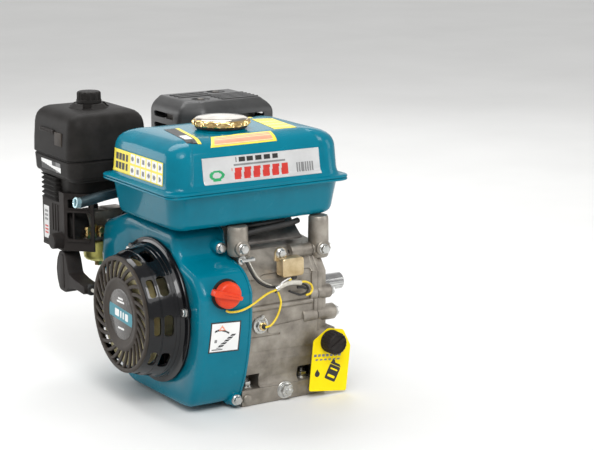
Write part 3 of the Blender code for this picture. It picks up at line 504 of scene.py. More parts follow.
def tank():
    walls = [(0.9, 252.3, 13), (0.25, 252.7, 13.6), (0, 253.6, 14), (0.25, 254.6, 13.6),
            (0.9, 255.2, 13.4), (4.0, 255.5, 16), (5.4, 256.1, 18), (6.4, 257.4, 19), (6.9, 259.5, 20),
            (7.2, 261.5, 20.5, 0.4), (7.5, 264.5, 21, DENT_DEPTH), (8.8, 286, 21, DENT_DEPTH)]
    rings = [tank_ring(*wall) for wall in walls]
    shoulder = [(9.0, 288.5), (9.6, 292), (11.0, 296), (13.4, 299.6), (17.0, 302.8), (22.0, 305.4),
            (28.0, 307.2), (36.0, 308.4)]
    for amount, height in shoulder:
        fade = DENT_DEPTH * min(1.0, max(0.0, (40.0 - amount) / 12.0))
        rings.append(tank_ring(amount, height, max(21 - (amount - 9) * 0.5, 8), fade))
    rings.append(tank_ring(48, TANK_TOP, 8))
    upper = loft(rings)
    neck_space = along_z(*FILLER_NECK)
    upper = carve(upper, [turned([(23.5, 280), (23.5, 330)], neck_space, 64)])
    collar = hoop([(22.6, 285), (22.6, 311), (27, 311), (28.5, 309.6), (30, 308.2), (33, 307.2),
            (33, 306), (24.5, 300), (24.5, 285)], neck_space)
    dish = hoop([(37, 308.3), (41, 309.1), (44, 308.2), (40, 307.0)], neck_space)
    inside = loft([tank_ring(11.5, 252.4, 18), tank_ring(13, 286, 17), tank_ring(25, 302, 12),
            tank_ring(42, 306, 8)])
    made = piece("tank_upper", [("teal_paint", carve(upper, [inside])), ("teal_paint", collar),
            ("teal_paint", dish)], stands_for=["tank_upper_shell"], angle=50)
    lower = [(34, 209.0, 10), (24, 209.1, 12), (19.5, 209.8, 14), (16.0, 211.4, 16), (13.6, 214.0, 17.5),
             (12.2, 217.5, 18.5), (7.6, 247.0, 20), (6.4, 248.3, 19), (4.4, 248.9, 16), (0.9, 249.1, 13.4),
             (0.25, 249.6, 13.6), (0, 250.4, 14), (0.25, 251.4, 13.6), (0.9, 251.9, 13)]
    hollow = [(9.5, 251.9, 18), (14.5, 216, 16), (22, 211.4, 10)]
    rings = [tank_ring(*level) for level in lower + hollow]
    outlet = turned([(9, 209.4), (9, 204.5), (6.5, 203.5)], along_z(-57, 60), 32, 0.3)
    piece("tank_lower", [("teal_paint", loft(rings)), ("zinc_steel", outlet)],
          stands_for=["tank_lower_shell"], angle=50)
    return made


def fuel_cap():
    low, high = node_box("fuel_cap")
    centre = (low + high) / 2
    space = along_z(centre.x, centre.y, 0)
    base = low.z + 2.3
    lobes = 14
    sides = lobes * 12

    def wave(angle):
        return (0.5 - 0.5 * math.cos(lobes * angle)) ** 0.7

    levels = [(31, 0.5, 0), (33.6, 2.4, 0.2), (34, 3.0, 1.2), (33.8, 3.0, 4.2), (32.6, 1.6, 5.6),
            (31, 0.4, 6.6), (29.6, 0.0, 7.0)]
    skirt = loft([fluted(r, d, base + h, sides, wave) for r, d, h in levels], space)
    dome = [(30.4, 6.0), (30.0, 7.3), (28.5, 8.2), (26.0, 8.7), (18, 9.0), (8, 9.1)]
    top = turned([(r, base + h) for r, h in dome], space, 96)
    bayonet = turned([(20, low.z), (20, base + 1)], space, 48)
    # The cap top's chrome carries a painted brown reflection in its darker tone
    piece("fuel_cap_top", [("chrome_with_painted_reflection", top), ("gilt", skirt), ("zinc_steel", bayonet)], "cap",
          ["fuel_cap"], 50)
    gasket_low, gasket_high = node_box("fuel_cap_gasket")
    ring = hoop([(23, gasket_low.z), (30, gasket_low.z), (30.4, gasket_low.z + 1.2), (30, gasket_high.z),
                 (23, gasket_high.z)], space)
    piece("fuel_cap_seal", [("rubber", ring)], "cap_gasket", ["fuel_cap_gasket"])


# Blower housing, recoil can, grille and starter
HOUSING_OUTLINE = [
    (-60, 4), (60, 2), (72, 4), (83, 10), (95, 36), (104, 70), (125, 108), (141, 141), (132, 186),
    (74, 205.5), (-40, 203), (-48, 198), (-50, 183), (-57, 173), (-75, 168), (-92, 163), (-103, 153),
    (-110, 142), (-109, 105), (-104, 72), (-94, 36), (-80, 9),
]
HOUSING_BACK = -54.0
HOUSING_FRONT = -115.0


def toward_circle(outline, radius, height):
    """For each point of an outline round the crankshaft, the point of a circle in its direction."""
    points = []
    for a, b in outline:
        angle = math.atan2(b - CRANK_Z, a)
        points.append((radius * math.cos(angle), CRANK_Z + radius * math.sin(angle), height))
    return points


def blower_housing():
    outline = filleted(HOUSING_OUTLINE, 11, 4)
    edge = 9.0
    thickness = 2.5
    face = HOUSING_FRONT
    rings = [lifted(outline, HOUSING_BACK)]
    for i in range(9):
        angle = math.radians(90 * i / 8)
        amount = edge * (1 - math.cos(angle)) + 0.001
        rings.append(lifted(inset(outline, amount), face + edge * (1 - math.sin(angle))))
    seat = inset(outline, edge)
    for radius, level in ((85.5, face), (84.6, face + 0.8), (74, face + 0.8), (74, face + 3)):
        rings.append(toward_circle(seat, radius, level))
    rings.append(lifted(inset(outline, edge + 2), face + 3))
    rings.append(lifted(inset(outline, thickness), face + edge))
    rings.append(lifted(inset(outline, thickness), HOUSING_BACK))
    shell = loft(rings, along_x(), closed=True)
    shell = carve(shell, [block((-64, 56, 190), (-53, 90, 210), bevel=0)])
    lip = [(0.001, 3.2), (-0.9, 2.4), (-1.1, 0.4), (-0.6, -0.2), (2.4, -0.2), (2.4, 3.2)]
    hem = loft([lifted(inset(outline, d), HOUSING_BACK + h) for d, h in lip], along_x(), closed=True)
    parts = [("teal_paint", shell), ("teal_paint", hem)]
    length = 9
    for x, y, z in ((-62.5, -51, 183), (-58, -76, 10.5)):
        boss = [(9.5, -4), (8.6, 0), (7.6, 3), (7.4, length - 0.6), (6.8, length)]
        parts.append(("teal_paint", turned(boss, to_front(x, y, z), 36)))
        parts += bolt(to_front(x, y - length, z), 9.0, 4.6, 6.4)
    piece("housing_shell", parts, stands_for=["blower_housing"], angle=45)


ROPE_X = -145.0
ROPE_Z = 107.5


def recoil_can():
    space = along_x(0, 0, CRANK_Z)
    front = -157.5
    outer = [(66.2, front + 0.1), (67.4, front + 1.6), (68.8, front + 6), (72.6, -140), (76.2, -126),
            (77.0, -121.5), (78.2, -119.4), (80.4, -118.6), (83.6, -118.3), (84, -117.6), (84, -115.5)]
    inner = [(75, -115.5), (74.5, -120), (64.6, -156), (63.5, front + 0.1)]
    can = hoop(outer + inner, space, 120)
    windows = []
    for i in range(1, 10):
        wall = spun(space, 36 * i) @ along_x()
        for low, high, radius in (((-11, -152.5), (11, -145), 3), ((-12, -141.5), (12, -131), 4)):
            windows.append(prism(rounded(low, high, radius, 4), 55, 92, wall))
    rope_hole = turned([(7, 60), (7, 90)], along_y(ROPE_X, 0, ROPE_Z), 32)
    can = carve(can, windows + [rope_hole])
    parts = [("gloss_black", can)]
    for radius, level in ((71.2, -143.2), (75.0, -128.6), (76.0, -124.4)):
        bead = hoop([(radius - 1.6, level - 0.9), (radius + 0.5, level - 0.7), (radius + 0.9, level),
                     (radius + 0.5, level + 0.7), (radius - 1.6, level + 0.9)], space, 120)
        parts.append(("gloss_black", bead))
    for degrees in (50, 170, 290):
        angle = math.radians(degrees)
        y, z = 79.6 * math.cos(angle), CRANK_Z + 79.6 * math.sin(angle)
        parts.append(("gloss_black", turned([(7.5, -1), (7.5, 2.6), (6.8, 3.2)], to_left(-116, y, z), 32)))
        parts += bolt(to_left(-119.0, y, z), 8.0, 4.4)
    bushing = hoop([(7.4, -1.2), (7.4, 2.6), (5.8, 3.4), (3.1, 3.2), (2.6, 0), (3.4, -1.2)],
            along_y(ROPE_X, 71.5, ROPE_Z), 32)
    parts.append(("soft_black", bushing))
    piece("recoil_can_shell", parts, stands_for=["recoil_can"])


def recoil_grille():
    low, high = node_box("recoil_grille")
    radius = (high.y - low.y) / 2
    space = to_left(0, 0, CRANK_Z)
    face = -low.x
    back = 157.8
    slots = 28
    lead = math.radians(-17)
    parts = []
    rim = hoop([(61.8, back), (radius - 0.4, back), (radius, back + 0.8), (radius - 0.1, face - 1.2),
                (radius - 0.9, face - 0.3), (radius - 2.0, face), (63.6, face), (62.4, face - 0.5),
                (61.8, face - 1.4)], space, 112)
    parts.append(("grille_plastic", rim))
    inner = hoop([(30.6, back), (42.6, back), (42.6, face - 1.2), (41.8, face - 0.5), (40.4, face - 0.1),
            (38.6, face), (37.6, face - 0.2), (36.4, face - 0.8), (33.4, face - 1.4), (31.4, face - 1.8),
            (30.6, face - 2.2)], space, 96)
    parts.append(("grille_plastic", inner))
    pitch = math.tau / slots
    for i in range(slots):
        rings = []
        for k in range(7):
            s = k / 6
            r = 41.4 + (63.0 - 41.4) * s
            middle = pitch * (i + 0.5) + lead * s
            half = pitch * r / 2 - (2.1 + 2.3 * s)
            section = [(-half, back), (half, back), (half, face - 1.5), (half * 0.55, face - 0.75),
                       (-half * 0.55, face - 0.75), (-half, face - 1.5)]
            ring = []
            for across, height in section:
                angle = middle + across / r
                ring.append((r * math.cos(angle), r * math.sin(angle), height))
            rings.append(ring)
        parts.append(("grille_plastic", loft(rings, space)))
    dish = turned([(31, back + 0.1), (31, face - 2.1), (29.6, face - 2.3), (29.0, face - 2.6)], space, 80)
    parts.append(("grille_plastic", dish))
    badge = turned([(29.2, face - 2.8), (29.2, face - 2.2), (28.6, face - 1.9)], space, 80)
    parts.append(("brown_disc", badge))
    level = face - 1.9
    half = 7.6
    reach = math.sqrt(28.2 ** 2 - half ** 2)
    ends = math.degrees(math.atan2(half, reach))
    right = arc((0, 0), 28.2, -ends, ends, 6)
    left = arc((0, 0), 28.2, 180 - ends, 180 + ends, 6)
    parts.append(("ink_teal", prism(right + left, level, level + 0.12, spun(space, -4))))
    tilted = spun(space, -4)
    for low_x, high_x in ((-14, -4), (-1, 2), (5, 8), (11, 18)):
        mark = rounded((low_x, -4.2), (high_x, 4.2), 1.2, 3)
        parts.append(("ink_white", prism(mark, level + 0.1, level + 0.25, tilted)))
    for half_width, y in ((9, 14.5), (6, 18.2), (7.5, -16.5)):
        bar = rounded((-half_width, y - 1.1), (half_width, y + 1.1), 1.0, 3)
        parts.append(("ink_white", prism(bar, level, level + 0.14, space)))
    post = turned([(9, -156.5), (9, -136)], along_x(0, 0, CRANK_Z), 32)
    parts.append(("grille_plastic", post))
    piece("grille", parts, stands_for=["recoil_grille"], angle=30)


def starter():
    low, high = node_box("recoil_reel")
    axis = along_x(0, 0, CRANK_Z)
    drum = hoop([(9.4, low.x), (60, low.x), (61, low.x + 0.8), (61, low.x + 2.4), (60.4, low.x + 3),
            (42, low.x + 3), (42, high.x - 2.5), (60.4, high.x - 2.5), (61, high.x - 1.8),
            (61, high.x - 0.6), (60, high.x), (9.4, high.x)], axis, 96)
    # The drum and arms carry the reel khaki made lighter as painted light, against the shade behind the
    # grille
    parts = [("olive_with_painted_light", drum)]
    for i in range(12):
        arm = spun(to_left(low.x, 0, CRANK_Z), 30 * i)
        parts.append(("olive_with_painted_light", block((16, -1.1, 0), (57, 1.1, 0.9), arm, 0.3)))
    for i in range(7):
        ring = []
        for k in range(8)[::-1]:
            angle = math.tau * k / 8
            ring.append((40.5 + 2 * math.cos(angle), -150 + 1.5 + 1.45 * i + 0.9 * math.sin(angle)))
        parts.append(("rope", hoop(ring, axis, 64)))
    piece("reel", parts, "reel", ["recoil_reel"])
    grip = [(102, 115), (128, 118), (145, 122), (150, 138), (155, 147), (169, 146.5), (176, 136),
            (179, 122), (177, 110), (171, 98), (153, 97), (147, 104), (128, 107), (102, 105)]
    outline = filleted(grip, 4, 3)[::-1]
    handle = prism(outline, -155, -135, along_x(), 3.2, 4)
    panel = prism(filleted([(157, 101), (170, 101), (175.5, 121), (168, 143), (158, 143)], 3, 3), -155.6,
            -154.6, along_x(), 0.4)
    collar = turned([(5.6, 0), (6.6, 1.0), (6.6, 6), (5.6, 7)], along_y(ROPE_X, 101.8, 110), 32)
    piece("pull_handle", [("soft_black", handle), ("soft_black", panel), ("rubber", collar)], "handle",
          ["starter_handle"])
    route = [(ROPE_X, y, z) for y, z in ((29.9, 73), (40, 81.7), (52, 92.5), (62, 102), (70, 108.5),
            (80, 110.5), (90, 110.2), (101.6, 110))]
    rope = piece("pull_rope", [("rope", pipe(route, 2.0, 10, 4))], None)
    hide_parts("starter_rope")
    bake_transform(rope)


# Air cleaner, duct and carburettor
def cleaner_ring(amount, height, radius=17):
    low, high = node_box("air_cleaner_cover")
    shape_low = (low.x + amount, low.y + amount)
    shape_high = (high.x - amount, high.y - amount)
    return lifted(rounded(shape_low, shape_high, max(radius - amount * 0.6, 5), 8), height)


def air_cleaner():
    seam = 264.0
    top = 320.0
    cover = [(0.8, seam + 0.3), (0.1, seam + 0.8), (0.0, seam + 2), (0.4, 280), (1.6, 300), (2.4, 305),
            (4.0, 309.5), (6.8, 313.4), (10.6, 316.4), (15.5, 318.3), (24, 319.5), (34, 320)]
    rings = [cleaner_ring(a, h) for a, h in cover]
    knob_low, knob_high = node_box("air_cleaner_knob")
    centre = (knob_low + knob_high) / 2
    collar_space = along_z(centre.x, centre.y, 0)
    collar = turned([(26, top - 2), (24, top + 0.2), (22.6, top + 1.0), (19.2, top + 4.6),
            (18.4, top + 5)], collar_space, 64)
    notches = [block((16, -5, top - 0.5), (32, 5, top + 6), spun(collar_space, 58 + 90 * i), 0)
               for i in range(4)]
    parts = [("black_plastic", loft(rings)), ("black_plastic", carve(collar, notches))]
    parts.append(("soft_black", block((-190, 291.5, 165.4), (-152, 296.5, 166.9), to_left(), 0.3)))
    for i in range(9):
        y = 154 + 4 * i
        parts.append(("soft_black", block((-y - 2.6, 292.4, 166.5), (-y, 295.8, 167.2), to_left(), 0.3)))
    parts.append(("grille_plastic", block((-150, 279, 164.6), (-131, 295, 166.6), to_left(), 0.8)))
    piece("cleaner_cover", parts, stands_for=["air_cleaner_cover"], angle=40)
    base = [(30, 236.2), (13, 236.2), (9.5, 236.8), (7.2, 238.4), (5.6, 241), (4.4, 241.4), (2.8, 242.6),
            (1.9, 245), (1.6, 252), (0.9, 261.0), (1.4, 261.6), (2.2, 262.2), (2.2, 263.2),
            (1.4, seam - 0.1)]
    hollow = [(5, seam - 0.1), (7, 241), (30, 240)]
    rings = [cleaner_ring(a, h) for a, h in base + hollow]
    bowl = [(0, 238), (1, 222), (2.6, 215), (6, 210), (12, 207), (20, 206)]
    rounds = [(rounded((-151 + d, 132 + d), (-76 - d, 214 - d), 20 - d * 0.6, 6), h) for d, h in bowl]
    bowl = loft([lifted(outline, h) for outline, h in rounds])
    piece("cleaner_base", [("black_plastic", loft(rings, closed=True)), ("black_plastic", bowl)],
          stands_for=["air_cleaner_base"], angle=40)

    def grip(angle):
        return int(math.cos(12 * angle) < -0.35)

    levels = [(14.6, 0, 0), (15, 0, 0.5), (15, 0, 3.4), (14.2, 0.2, 4.0), (14.4, 0.9, 4.4),
            (14.2, 0.9, 11.6), (13.4, 0.5, 12.8), (12.2, 0.1, 13.4), (6, 0, 13.6)]
    knob = loft([fluted(r, d, knob_low.z + h, 96, grip) for r, d, h in levels], collar_space)
    piece("cleaner_knob", [("black_plastic", knob)], "cleaner_knob", ["air_cleaner_knob"],
            30)
    foam_low, foam_high = node_box("air_filter_element")
    foam = prism(rounded((foam_low.x, foam_low.y), (foam_high.x, foam_high.y), 16, 6), foam_low.z,
            foam_high.z, None, 2.5, 3)
    piece("filter_foam_block", [("foam", foam)], stands_for=["air_filter_element"])


def air_duct():
    body = prism(rounded((-152, 166), (-130, 208), 4, 4), 160, 207.5, None, 0.8)
    parts = [("black_plastic", body)]
    rings = []
    folds = 5
    ring_count = folds * 8
    for i in range(ring_count + 1):
        wave = 1.3 * math.cos(math.tau * i / 8)
        fold = rounded((-156.5 - wave, 168.5 - wave), (-130.5 + wave, 212.5 + wave), 6 + wave * 0.5, 5)
        rings.append(lifted(fold, 206.5 + 29 * i / ring_count))
    parts.append(("black_plastic", loft(rings)))
    elbow = turned([(18.4, 0), (19, 0.8), (19, 20), (17, 22.5)], basis((-126.4, 162, 176), (0, 1, 0),
            (0, 0, 1), (-1, 0, 0)), 48)
    neck = block((-150, 156, 160), (-132, 180, 194), None, 4, 4)
    parts += [("black_plastic", elbow), ("black_plastic", neck)]
    for z in (168, 190):
        parts.append(("black_plastic", block((-153, 170, z), (-150, 204, z + 2), None, 0.6)))
    piece("intake_duct", parts, stands_for=["air_duct"])


def carburettor_guard():
    outline = [(-156.5, 210), (-156.5, 150), (-130, 123.5), (-127.9, 125.6), (-153.5, 151.2), (-153.5, 210)]
    plate = prism(outline, 150, 220, None, 0)
    window = basis((-143, 137, 0), (0.7071, -0.7071, 0), (0, 0, 1), (0.7071, 0.7071, 0))
    openings = [prism(rounded((-15, 165), (15, 197), 3, 3), -9, 9, window),
                prism(rounded((-14, 202), (14, 213), 2, 3), -9, 9, window),
                block((-160, 163, 206.5), (-150, 215, 225), bevel=0)]
    parts = [("soft_black", carve(plate, openings))]
    for low, high in ((197.5, 200), (162, 165)):
        parts.append(("soft_black", block((-14, low, -3.4), (14, high, -1.6), window, 0.5)))
    parts.append(("soft_black", block((-7, 165, -3), (-4.8, 197, -1.4), window, 0.4)))
    boss = turned([(9.6, -3), (9.6, 13.5), (8.6, 14.6), (5, 14.8)], to_left(-154.5, 160, 161), 40)
    lip = block((-157.6, 152, 148.6), (-153, 209, 152.4), None, 1.0)
    parts += [("soft_black", boss), ("soft_black", lip)]
    for i in range(3):
        low, high = (-157.4, 166 + 7 * i, 170), (-155.8, 167.8 + 7 * i, 203)
        parts.append(("soft_black", block(low, high, None, 0.5)))
    parts += screw(to_left(-156.4, 198, 158.5), 4.2, 2.8)
    piece("guard_plate", parts, stands_for=["carburettor_guard"])


CARBURETTOR_AXIS = (162.0, 176.0)


def carburettor():
    y, z = CARBURETTOR_AXIS
    axis = along_x(0, y, z)
    barrel = [(18.4, -126), (19, -125.4), (19, -118), (15, -112), (15, -72), (17, -68), (17, -62.3)]
    body = turned(barrel, axis, 48)
    parts = [("cast_aluminium", body)]
    parts.append(("cast_aluminium", block((-122, y - 14, z - 14), (-74, y + 14, z + 18), None, 2.5, 3)))
    parts.append(("cast_aluminium", turned([(14, z - 19.3), (14, z - 8)], along_z(-106, y), 40)))
    parts.append(("cast_aluminium", turned([(6, z + 17), (6, z + 19.6)], along_z(-112, y), 32, 0.4)))
    parts.append(("cast_aluminium", block((-100, y - 15, z + 17), (-78, y + 6, z + 19.5), None, 0.8)))
    parts += screw(along_z(-82, y - 10, z + 19.4), 2.6, 1.8)
    parts += screw(along_z(-95, y - 10, z + 19.4), 2.6, 1.8)
    jet = turned([(3.4, 0), (3.4, 5), (2.6, 6), (2.6, 9), (4.2, 9.4), (4.2, 12.6), (3.6, 13.2)],
                 to_front(-114, y - 14, z - 3), 24, 0.1)
    parts.append(("brass", jet))
    spring = [(3.1 + 0.5 * (i % 2), 0.6 * i) for i in range(14)]
    parts.append(("zinc_steel", turned(spring, to_front(-98, y - 14, z + 4), 24)))
    parts.append(("brass", turned([(4, 8), (4, 11), (3.4, 11.6)], to_front(-98, y - 14, z + 4), 24)))
    idle_screw = [(3, 0), (3, 7), (4.4, 7.2), (4.4, 10)]
    parts.append(("brass", turned(idle_screw, to_front(-84, y - 14, z - 4), 6)))
    parts.append(("cast_dark", block((-134, 139, 160), (-104, 145, 165), None, 1.0)))
    for x, low, high in ((-130, 164, 178), (-121, 163, 180), (-113, 164, 177)):
        post = [(3.6, low), (3.6, low + 5), (2.6, low + 5.6), (2.6, high - 4), (3.8, high - 3.6),
                (3.8, high - 0.5), (3.2, high)]
        parts.append(("brass", turned(post, along_z(x, 142), 24, 0.1)))
    piece("carburettor_casting", parts, stands_for=["carburettor_body"])
    low, high = node_box("float_bowl")
    space = along_z(-106, y)
    bowl = turned([(13.0, 131.6), (15.6, 132.4), (17.4, 134.0), (18.3, 136.4), (18.5, 139),
            (18.5, high.z - 2.6), (18.5, high.z - 0.2), (17.5, high.z)], space, 64)
    parts = [("bowl_zinc", bowl), ("bowl_zinc", hoop([(18.2, high.z - 3), (19.4, high.z - 2.6),
            (19.4, high.z - 0.8), (18.2, high.z - 0.4)], space))]
    parts.append(("brass", turned([(5.0, 124), (5.6, 124.5), (5.6, 128.6), (7.4, 129), (7.4, 130.6),
            (6, 131)], space, 6, 0.1)))
    parts.append(("bowl_zinc", turned([(9, 130.4), (12.6, 131.2), (13.4, 132.6)], space, 48)))
    drain = basis((-106 + 9, y - 11, 137), (0.8, 0.6, 0), (0, 0, 1), (0.6, -0.8, 0))
    parts.append(("brass", turned([(3.6, 0), (3.6, 5.4), (3, 6)], drain, 6, 0.1)))
    piece("carburettor_bowl", parts, stands_for=["float_bowl"], angle=40)
    insulator = block((-61.8, y - 18, z - 20), (-48.3, y + 18, z + 20), None, 2.0, 3)
    nuts = []
    for dz in (-13, 13):
        nuts += bolt(to_left(-61.6, y - 13, z + dz), 7.0, 4.0)
    piece("intake_spacer", [("black_plastic", insulator)] + nuts, stands_for=["intake_insulator"])


def levers():
    y, z = CARBURETTOR_AXIS
    hub = turned([(5.4, z + 19.6), (6, z + 20.2), (6, z + 23.4), (5.4, z + 24)], along_z(-112, y), 36)
    arm = prism(filleted([(-115, y + 2), (-109, y + 2), (-108, y + 30), (-110, y + 34), (-114, y + 34),
            (-116, y + 30)], 3, 3), z + 20, z + 23, None, 0.8)
    piece("choke_arm", [("black_plastic", hub), ("black_plastic", arm)], "choke", ["choke_lever"])
    hub = turned([(6, 0), (6, 6.6), (5.2, 7.4)], along_y(-88, y + 15.6, z), 36)
    arm = block((-116, y + 19.6, z - 3.6), (-88, y + 22, z + 3.6), None, 1.0, 3)
    piece("fuel_cock_arm", [("red_plastic", hub), ("black_plastic", arm)], "fuel_cock", ["fuel_cock_lever"])
    low, high = node_box("control_base")
    bracket = carve(prism([(79, 205.4), (99.4, 198.4), (99.4, 222.6), (79, 222.6)], low.x, high.x,
            along_x(), 0.8), [block((low.x + 3, 76, 207), (high.x - 3, 103, 219.5), None, 0)])
    plate = prism(rounded((-90, 76), (-62, 102), 5, 4), 222.6, 224.0, None, 0.3)
    pivot = bolt(along_z(-76, 90, 228.2), 9, 5, 6.5)
    rod_route = [(-70, 98, 226.4), (-60, 103, 226), (-45, 106, 222), (-30, 107, 216), (-18, 107, 207)]
    rod = pipe(rod_route, 1.1, 6, 3)
    spring_route = [(-66 + 1.1 * i, 94 + 2.4 * math.cos(i * math.pi / 2),
            219 + 2.4 * math.sin(i * math.pi / 2)) for i in range(48)]
    spring = pipe(spring_route, 0.55, 3, 2)
    piece("control_bracket", [("zinc_steel", bracket), ("zinc_steel", plate), ("zinc_steel", rod),
            ("forged_steel", spring)] + pivot, stands_for=["control_base"])
    low, high = node_box("throttle_lever")
    flat = prism(filleted([(-66, 84), (-66, 96), (-112, 95), (-112, 85)], 4, 4), 225.4, 227.6, None, 0.5)
    route = [(-104, 90, 226.4), (-122, 90, 226.2), (-146, 90, 222.6), (-165, 90, 219.4)]
    bar = pipe(route, 6.2, 8, 6)
    tip = basis((-163.5, 90, 219.6), (0, 1, 0), (0.16, 0, 0.987), (-0.987, 0, 0.16))
    cap = hoop([(6.1, 4.6), (6.4, 5.0), (6.4, 6.2), (6.0, 6.6), (4.6, 6.6), (4.3, 6.0), (4.3, 1),
            (6.1, 0.6)], tip, 40)
    plug = turned([(4.4, 0), (4.4, 2.5)], tip, 24)
    piece("throttle_arm", [("forged_steel", flat), ("lever_steel", bar), ("lever_tip", cap),
            ("black_ink_and_painted_shade", plug)], "throttle", ["throttle_lever"])


# Exhaust
def guard_ring(amount, height):
    points = [(-12, 126), (11, 105), (110, 105), (110, 200), (102, 208), (-4, 208), (-12, 200)]
    return lifted(filleted(inset(points, max(amount, 0.001)), 5, 3), height)


def exhaust():
    outer = [(0.8, 244), (0, 244.8), (0, 300), (0.2, 304), (1.2, 307.6), (3.0, 311), (5.6, 314.2),
            (9.0, 317.2), (11.0, 319.2), (12.6, 320)]
    rings = [guard_ring(a, h) for a, h in outer]
    inner = [(12.9, 317.8), (10.5, 315.4), (4.4, 309.6), (2.2, 303.6), (2.2, 244)]
    shell = loft(rings)
    shell = carve(shell, [loft([guard_ring(a, h) for a, h in inner])])
    cutters = []
    for z in (282, 296):
        for low, high, near, far, space in (
                (140, 190, -20, -5, along_x()), (128, 150, 104, 116, along_x()),
                (20, 54, -113, -100, to_front()), (62, 96, -113, -100, to_front()),
                (6, 42, -215, -200, to_front()), (54, 90, -215, -200, to_front())):
            cutters.append(prism(rounded((low, z), (high, z + 7), 3.4, 4), near, far, space))
    bolt_places = ((25, 138), (72, 183))
    for x, y in bolt_places:
        cutters.append(turned([(6.5, 316), (11, 318.6), (12.5, 321)], along_z(x, y), 48))
    shell = carve(shell, cutters)
    parts = [("guard_black", shell)]
    for x, y in bolt_places:
        parts.append(("guard_black", turned([(9, 313), (9, 316.6), (6, 316.8)], along_z(x, y), 32)))
        parts += bolt(along_z(x, y, 315.6), 8, 3.6, 6, paint="cast_dark")
    ridges = [rounded((46, 121 + 9 * i), (98, 125.5 + 9 * i), 2.2, 4) for i in range(5)]
    ridges += [rounded((6, 158 + 11 * i), (54, 163 + 11 * i), 2.4, 4) for i in range(3)]
    for ridge in ridges:
        parts.append(("guard_black", prism(ridge, 319, 321.2, None, 0.8)))
    piece("exhaust_guard", parts, stands_for=["muffler_guard"], angle=35)


# Crankcase details
FOOT_OUTLINE = [(-50.2, 0.5), (50.2, 0.5), (50.2, 18.6), (-50.2, 18.6)]


def crankcase_details():
    front = -86.0
    parts = []
    paint = "cast_aluminium"
    slope_up = Vector((0, 24, 30)).normalized()
    slope_out = Vector((0, -30, 24)).normalized()
    slope = basis((0, -86, 146), (1, 0, 0), slope_up, slope_out)
    plates = [
        ([(-49, 1), (-29, 1), (-22, 6), (42, 6), (42, 0), (49.6, 0), (49.6, 38), (-49, 38)], slope, 1.8),
        ([(42, 118), (49.6, 118), (49.6, 147), (42, 147)], to_front(0, front, 0), 1.8),
        ([(-49, 64.5), (49.6, 60.5), (49.6, 94), (30, 93), (-15, 90.5), (-17, 88), (-17, 84), (-14, 82.5),
          (-1, 82), (-1, 79.5), (-49, 80.5)], to_front(0, front, 0), 1.6),
    ]
    for outline, space, height in plates:
        parts.append((paint, prism(filleted(outline, 2.5, 3), -1.5, height, space, 0.9, 3)))
    rib = prism(arc((0, 0), 3.6, 0, 360, 23)[:-1], -46, 43, along_x(0, front, 113.5))
    parts.append((paint, rib))
    parts.append((paint, block((-49.5, front - 2.0, 82), (-43.5, front, 146), None, 0.8)))
    cove = [(-78, 18.5), (-84.4, 18.8), (-81.4, 21.5), (-80.2, 25), (-80.6, 30), (-82.6, 37), (-85.2, 44),
            (-86.4, 50), (-84, 52), (-76, 50)]
    parts.append((paint, prism(cove, -25.6, 25.6, along_x())))
    foot = filleted(FOOT_OUTLINE, 2, 3)
    parts.append((paint, prism(foot, 0, 1.3, to_front(0, -83.6, 0), 0.8, 3)))
    flange = filleted([(-87.7, 22), (-87.7, 147), (-63.4, 177.6), (-58, 177), (-80, 146), (-80, 26)], 3, 3)
    for low, high in ((45.2, 50.1), (50.35, 55.4)):
        parts.append((paint, prism(flange, low, high, along_x(), 0.9, 3)))
    for y, z, radius, low, end, head in ((-80, 95, 9.4, 30.4, 76.2, 10.5),
            (-82, 121, 8.4, 39.4, 69.2, 9.5), (-70, 170, 8.4, 21.4, 71.2, 9.5)):
        for a, b in ((low, 50.1), (50.35, end)):
            parts.append((paint, turned([(radius - 1.2, a), (radius - 0.3, a + 0.5), (radius, a + 1.4),
                    (radius, b - 1.2), (radius - 0.5, b - 0.4), (radius - 1.3, b)], along_x(0, y, z),
                    48)))
        parts += bolt(along_x(end, y, z), head, 6.0)
        # A black disc on the far end of each boss is painted shade for the dark inside of its bolt hole
        parts.append(("black_ink_and_painted_shade", turned([(2.6, -0.05), (2.6, 0.2)], along_x(low - 0.1, y, z), 24)))
    for x, y, low, nut in ((-46, -70, 175, 184), (62, -70, 160, 171)):
        post = turned([(9.6, low), (11.6, low + 1.2), (12.2, low + 5), (11.8, 200), (11.5, 206.6),
                (10.4, 208.4)], along_z(x, y), 48)
        parts.append((paint, post))
        parts.append((paint, turned([(9.4, -4), (9.0, 1.0), (8.2, 1.8)], to_front(x, y - 10.6, nut), 40)))
        parts += bolt(to_front(x, y - 12.2, nut), 9.6, 5.5)
    for x in (-37.5, 37.5):
        for y in (-71, 91):
            parts += bolt(along_z(x, y, 19), 11, 6, 8.5, 4.0)
    rear = [(105.4, 22), (102, 26), (86.4, 60), (81.4, 84), (76, 84), (80, 60), (96, 22)]
    for x in (-33, 0, 33):
        parts.append((paint, prism(rear, x - 1.6, x + 1.6, along_x(), 0.8)))
    parts.append((paint, prism(foot, 0, 1.3, to_back(0, 103.6, 0), 0.8, 3)))
    parts += bolt(to_back(12, 104.9, 11.5), 13.5, 6.5, 10.4)
    for x, z in ((-44, 9), (44.5, 9)):
        parts.append((paint, turned([(5.5, 0), (5.5, 3), (4.4, 4.4), (2, 4.9)], to_front(x, -84, z), 32)))
    piece("crankcase_ribs", parts, angle=35)


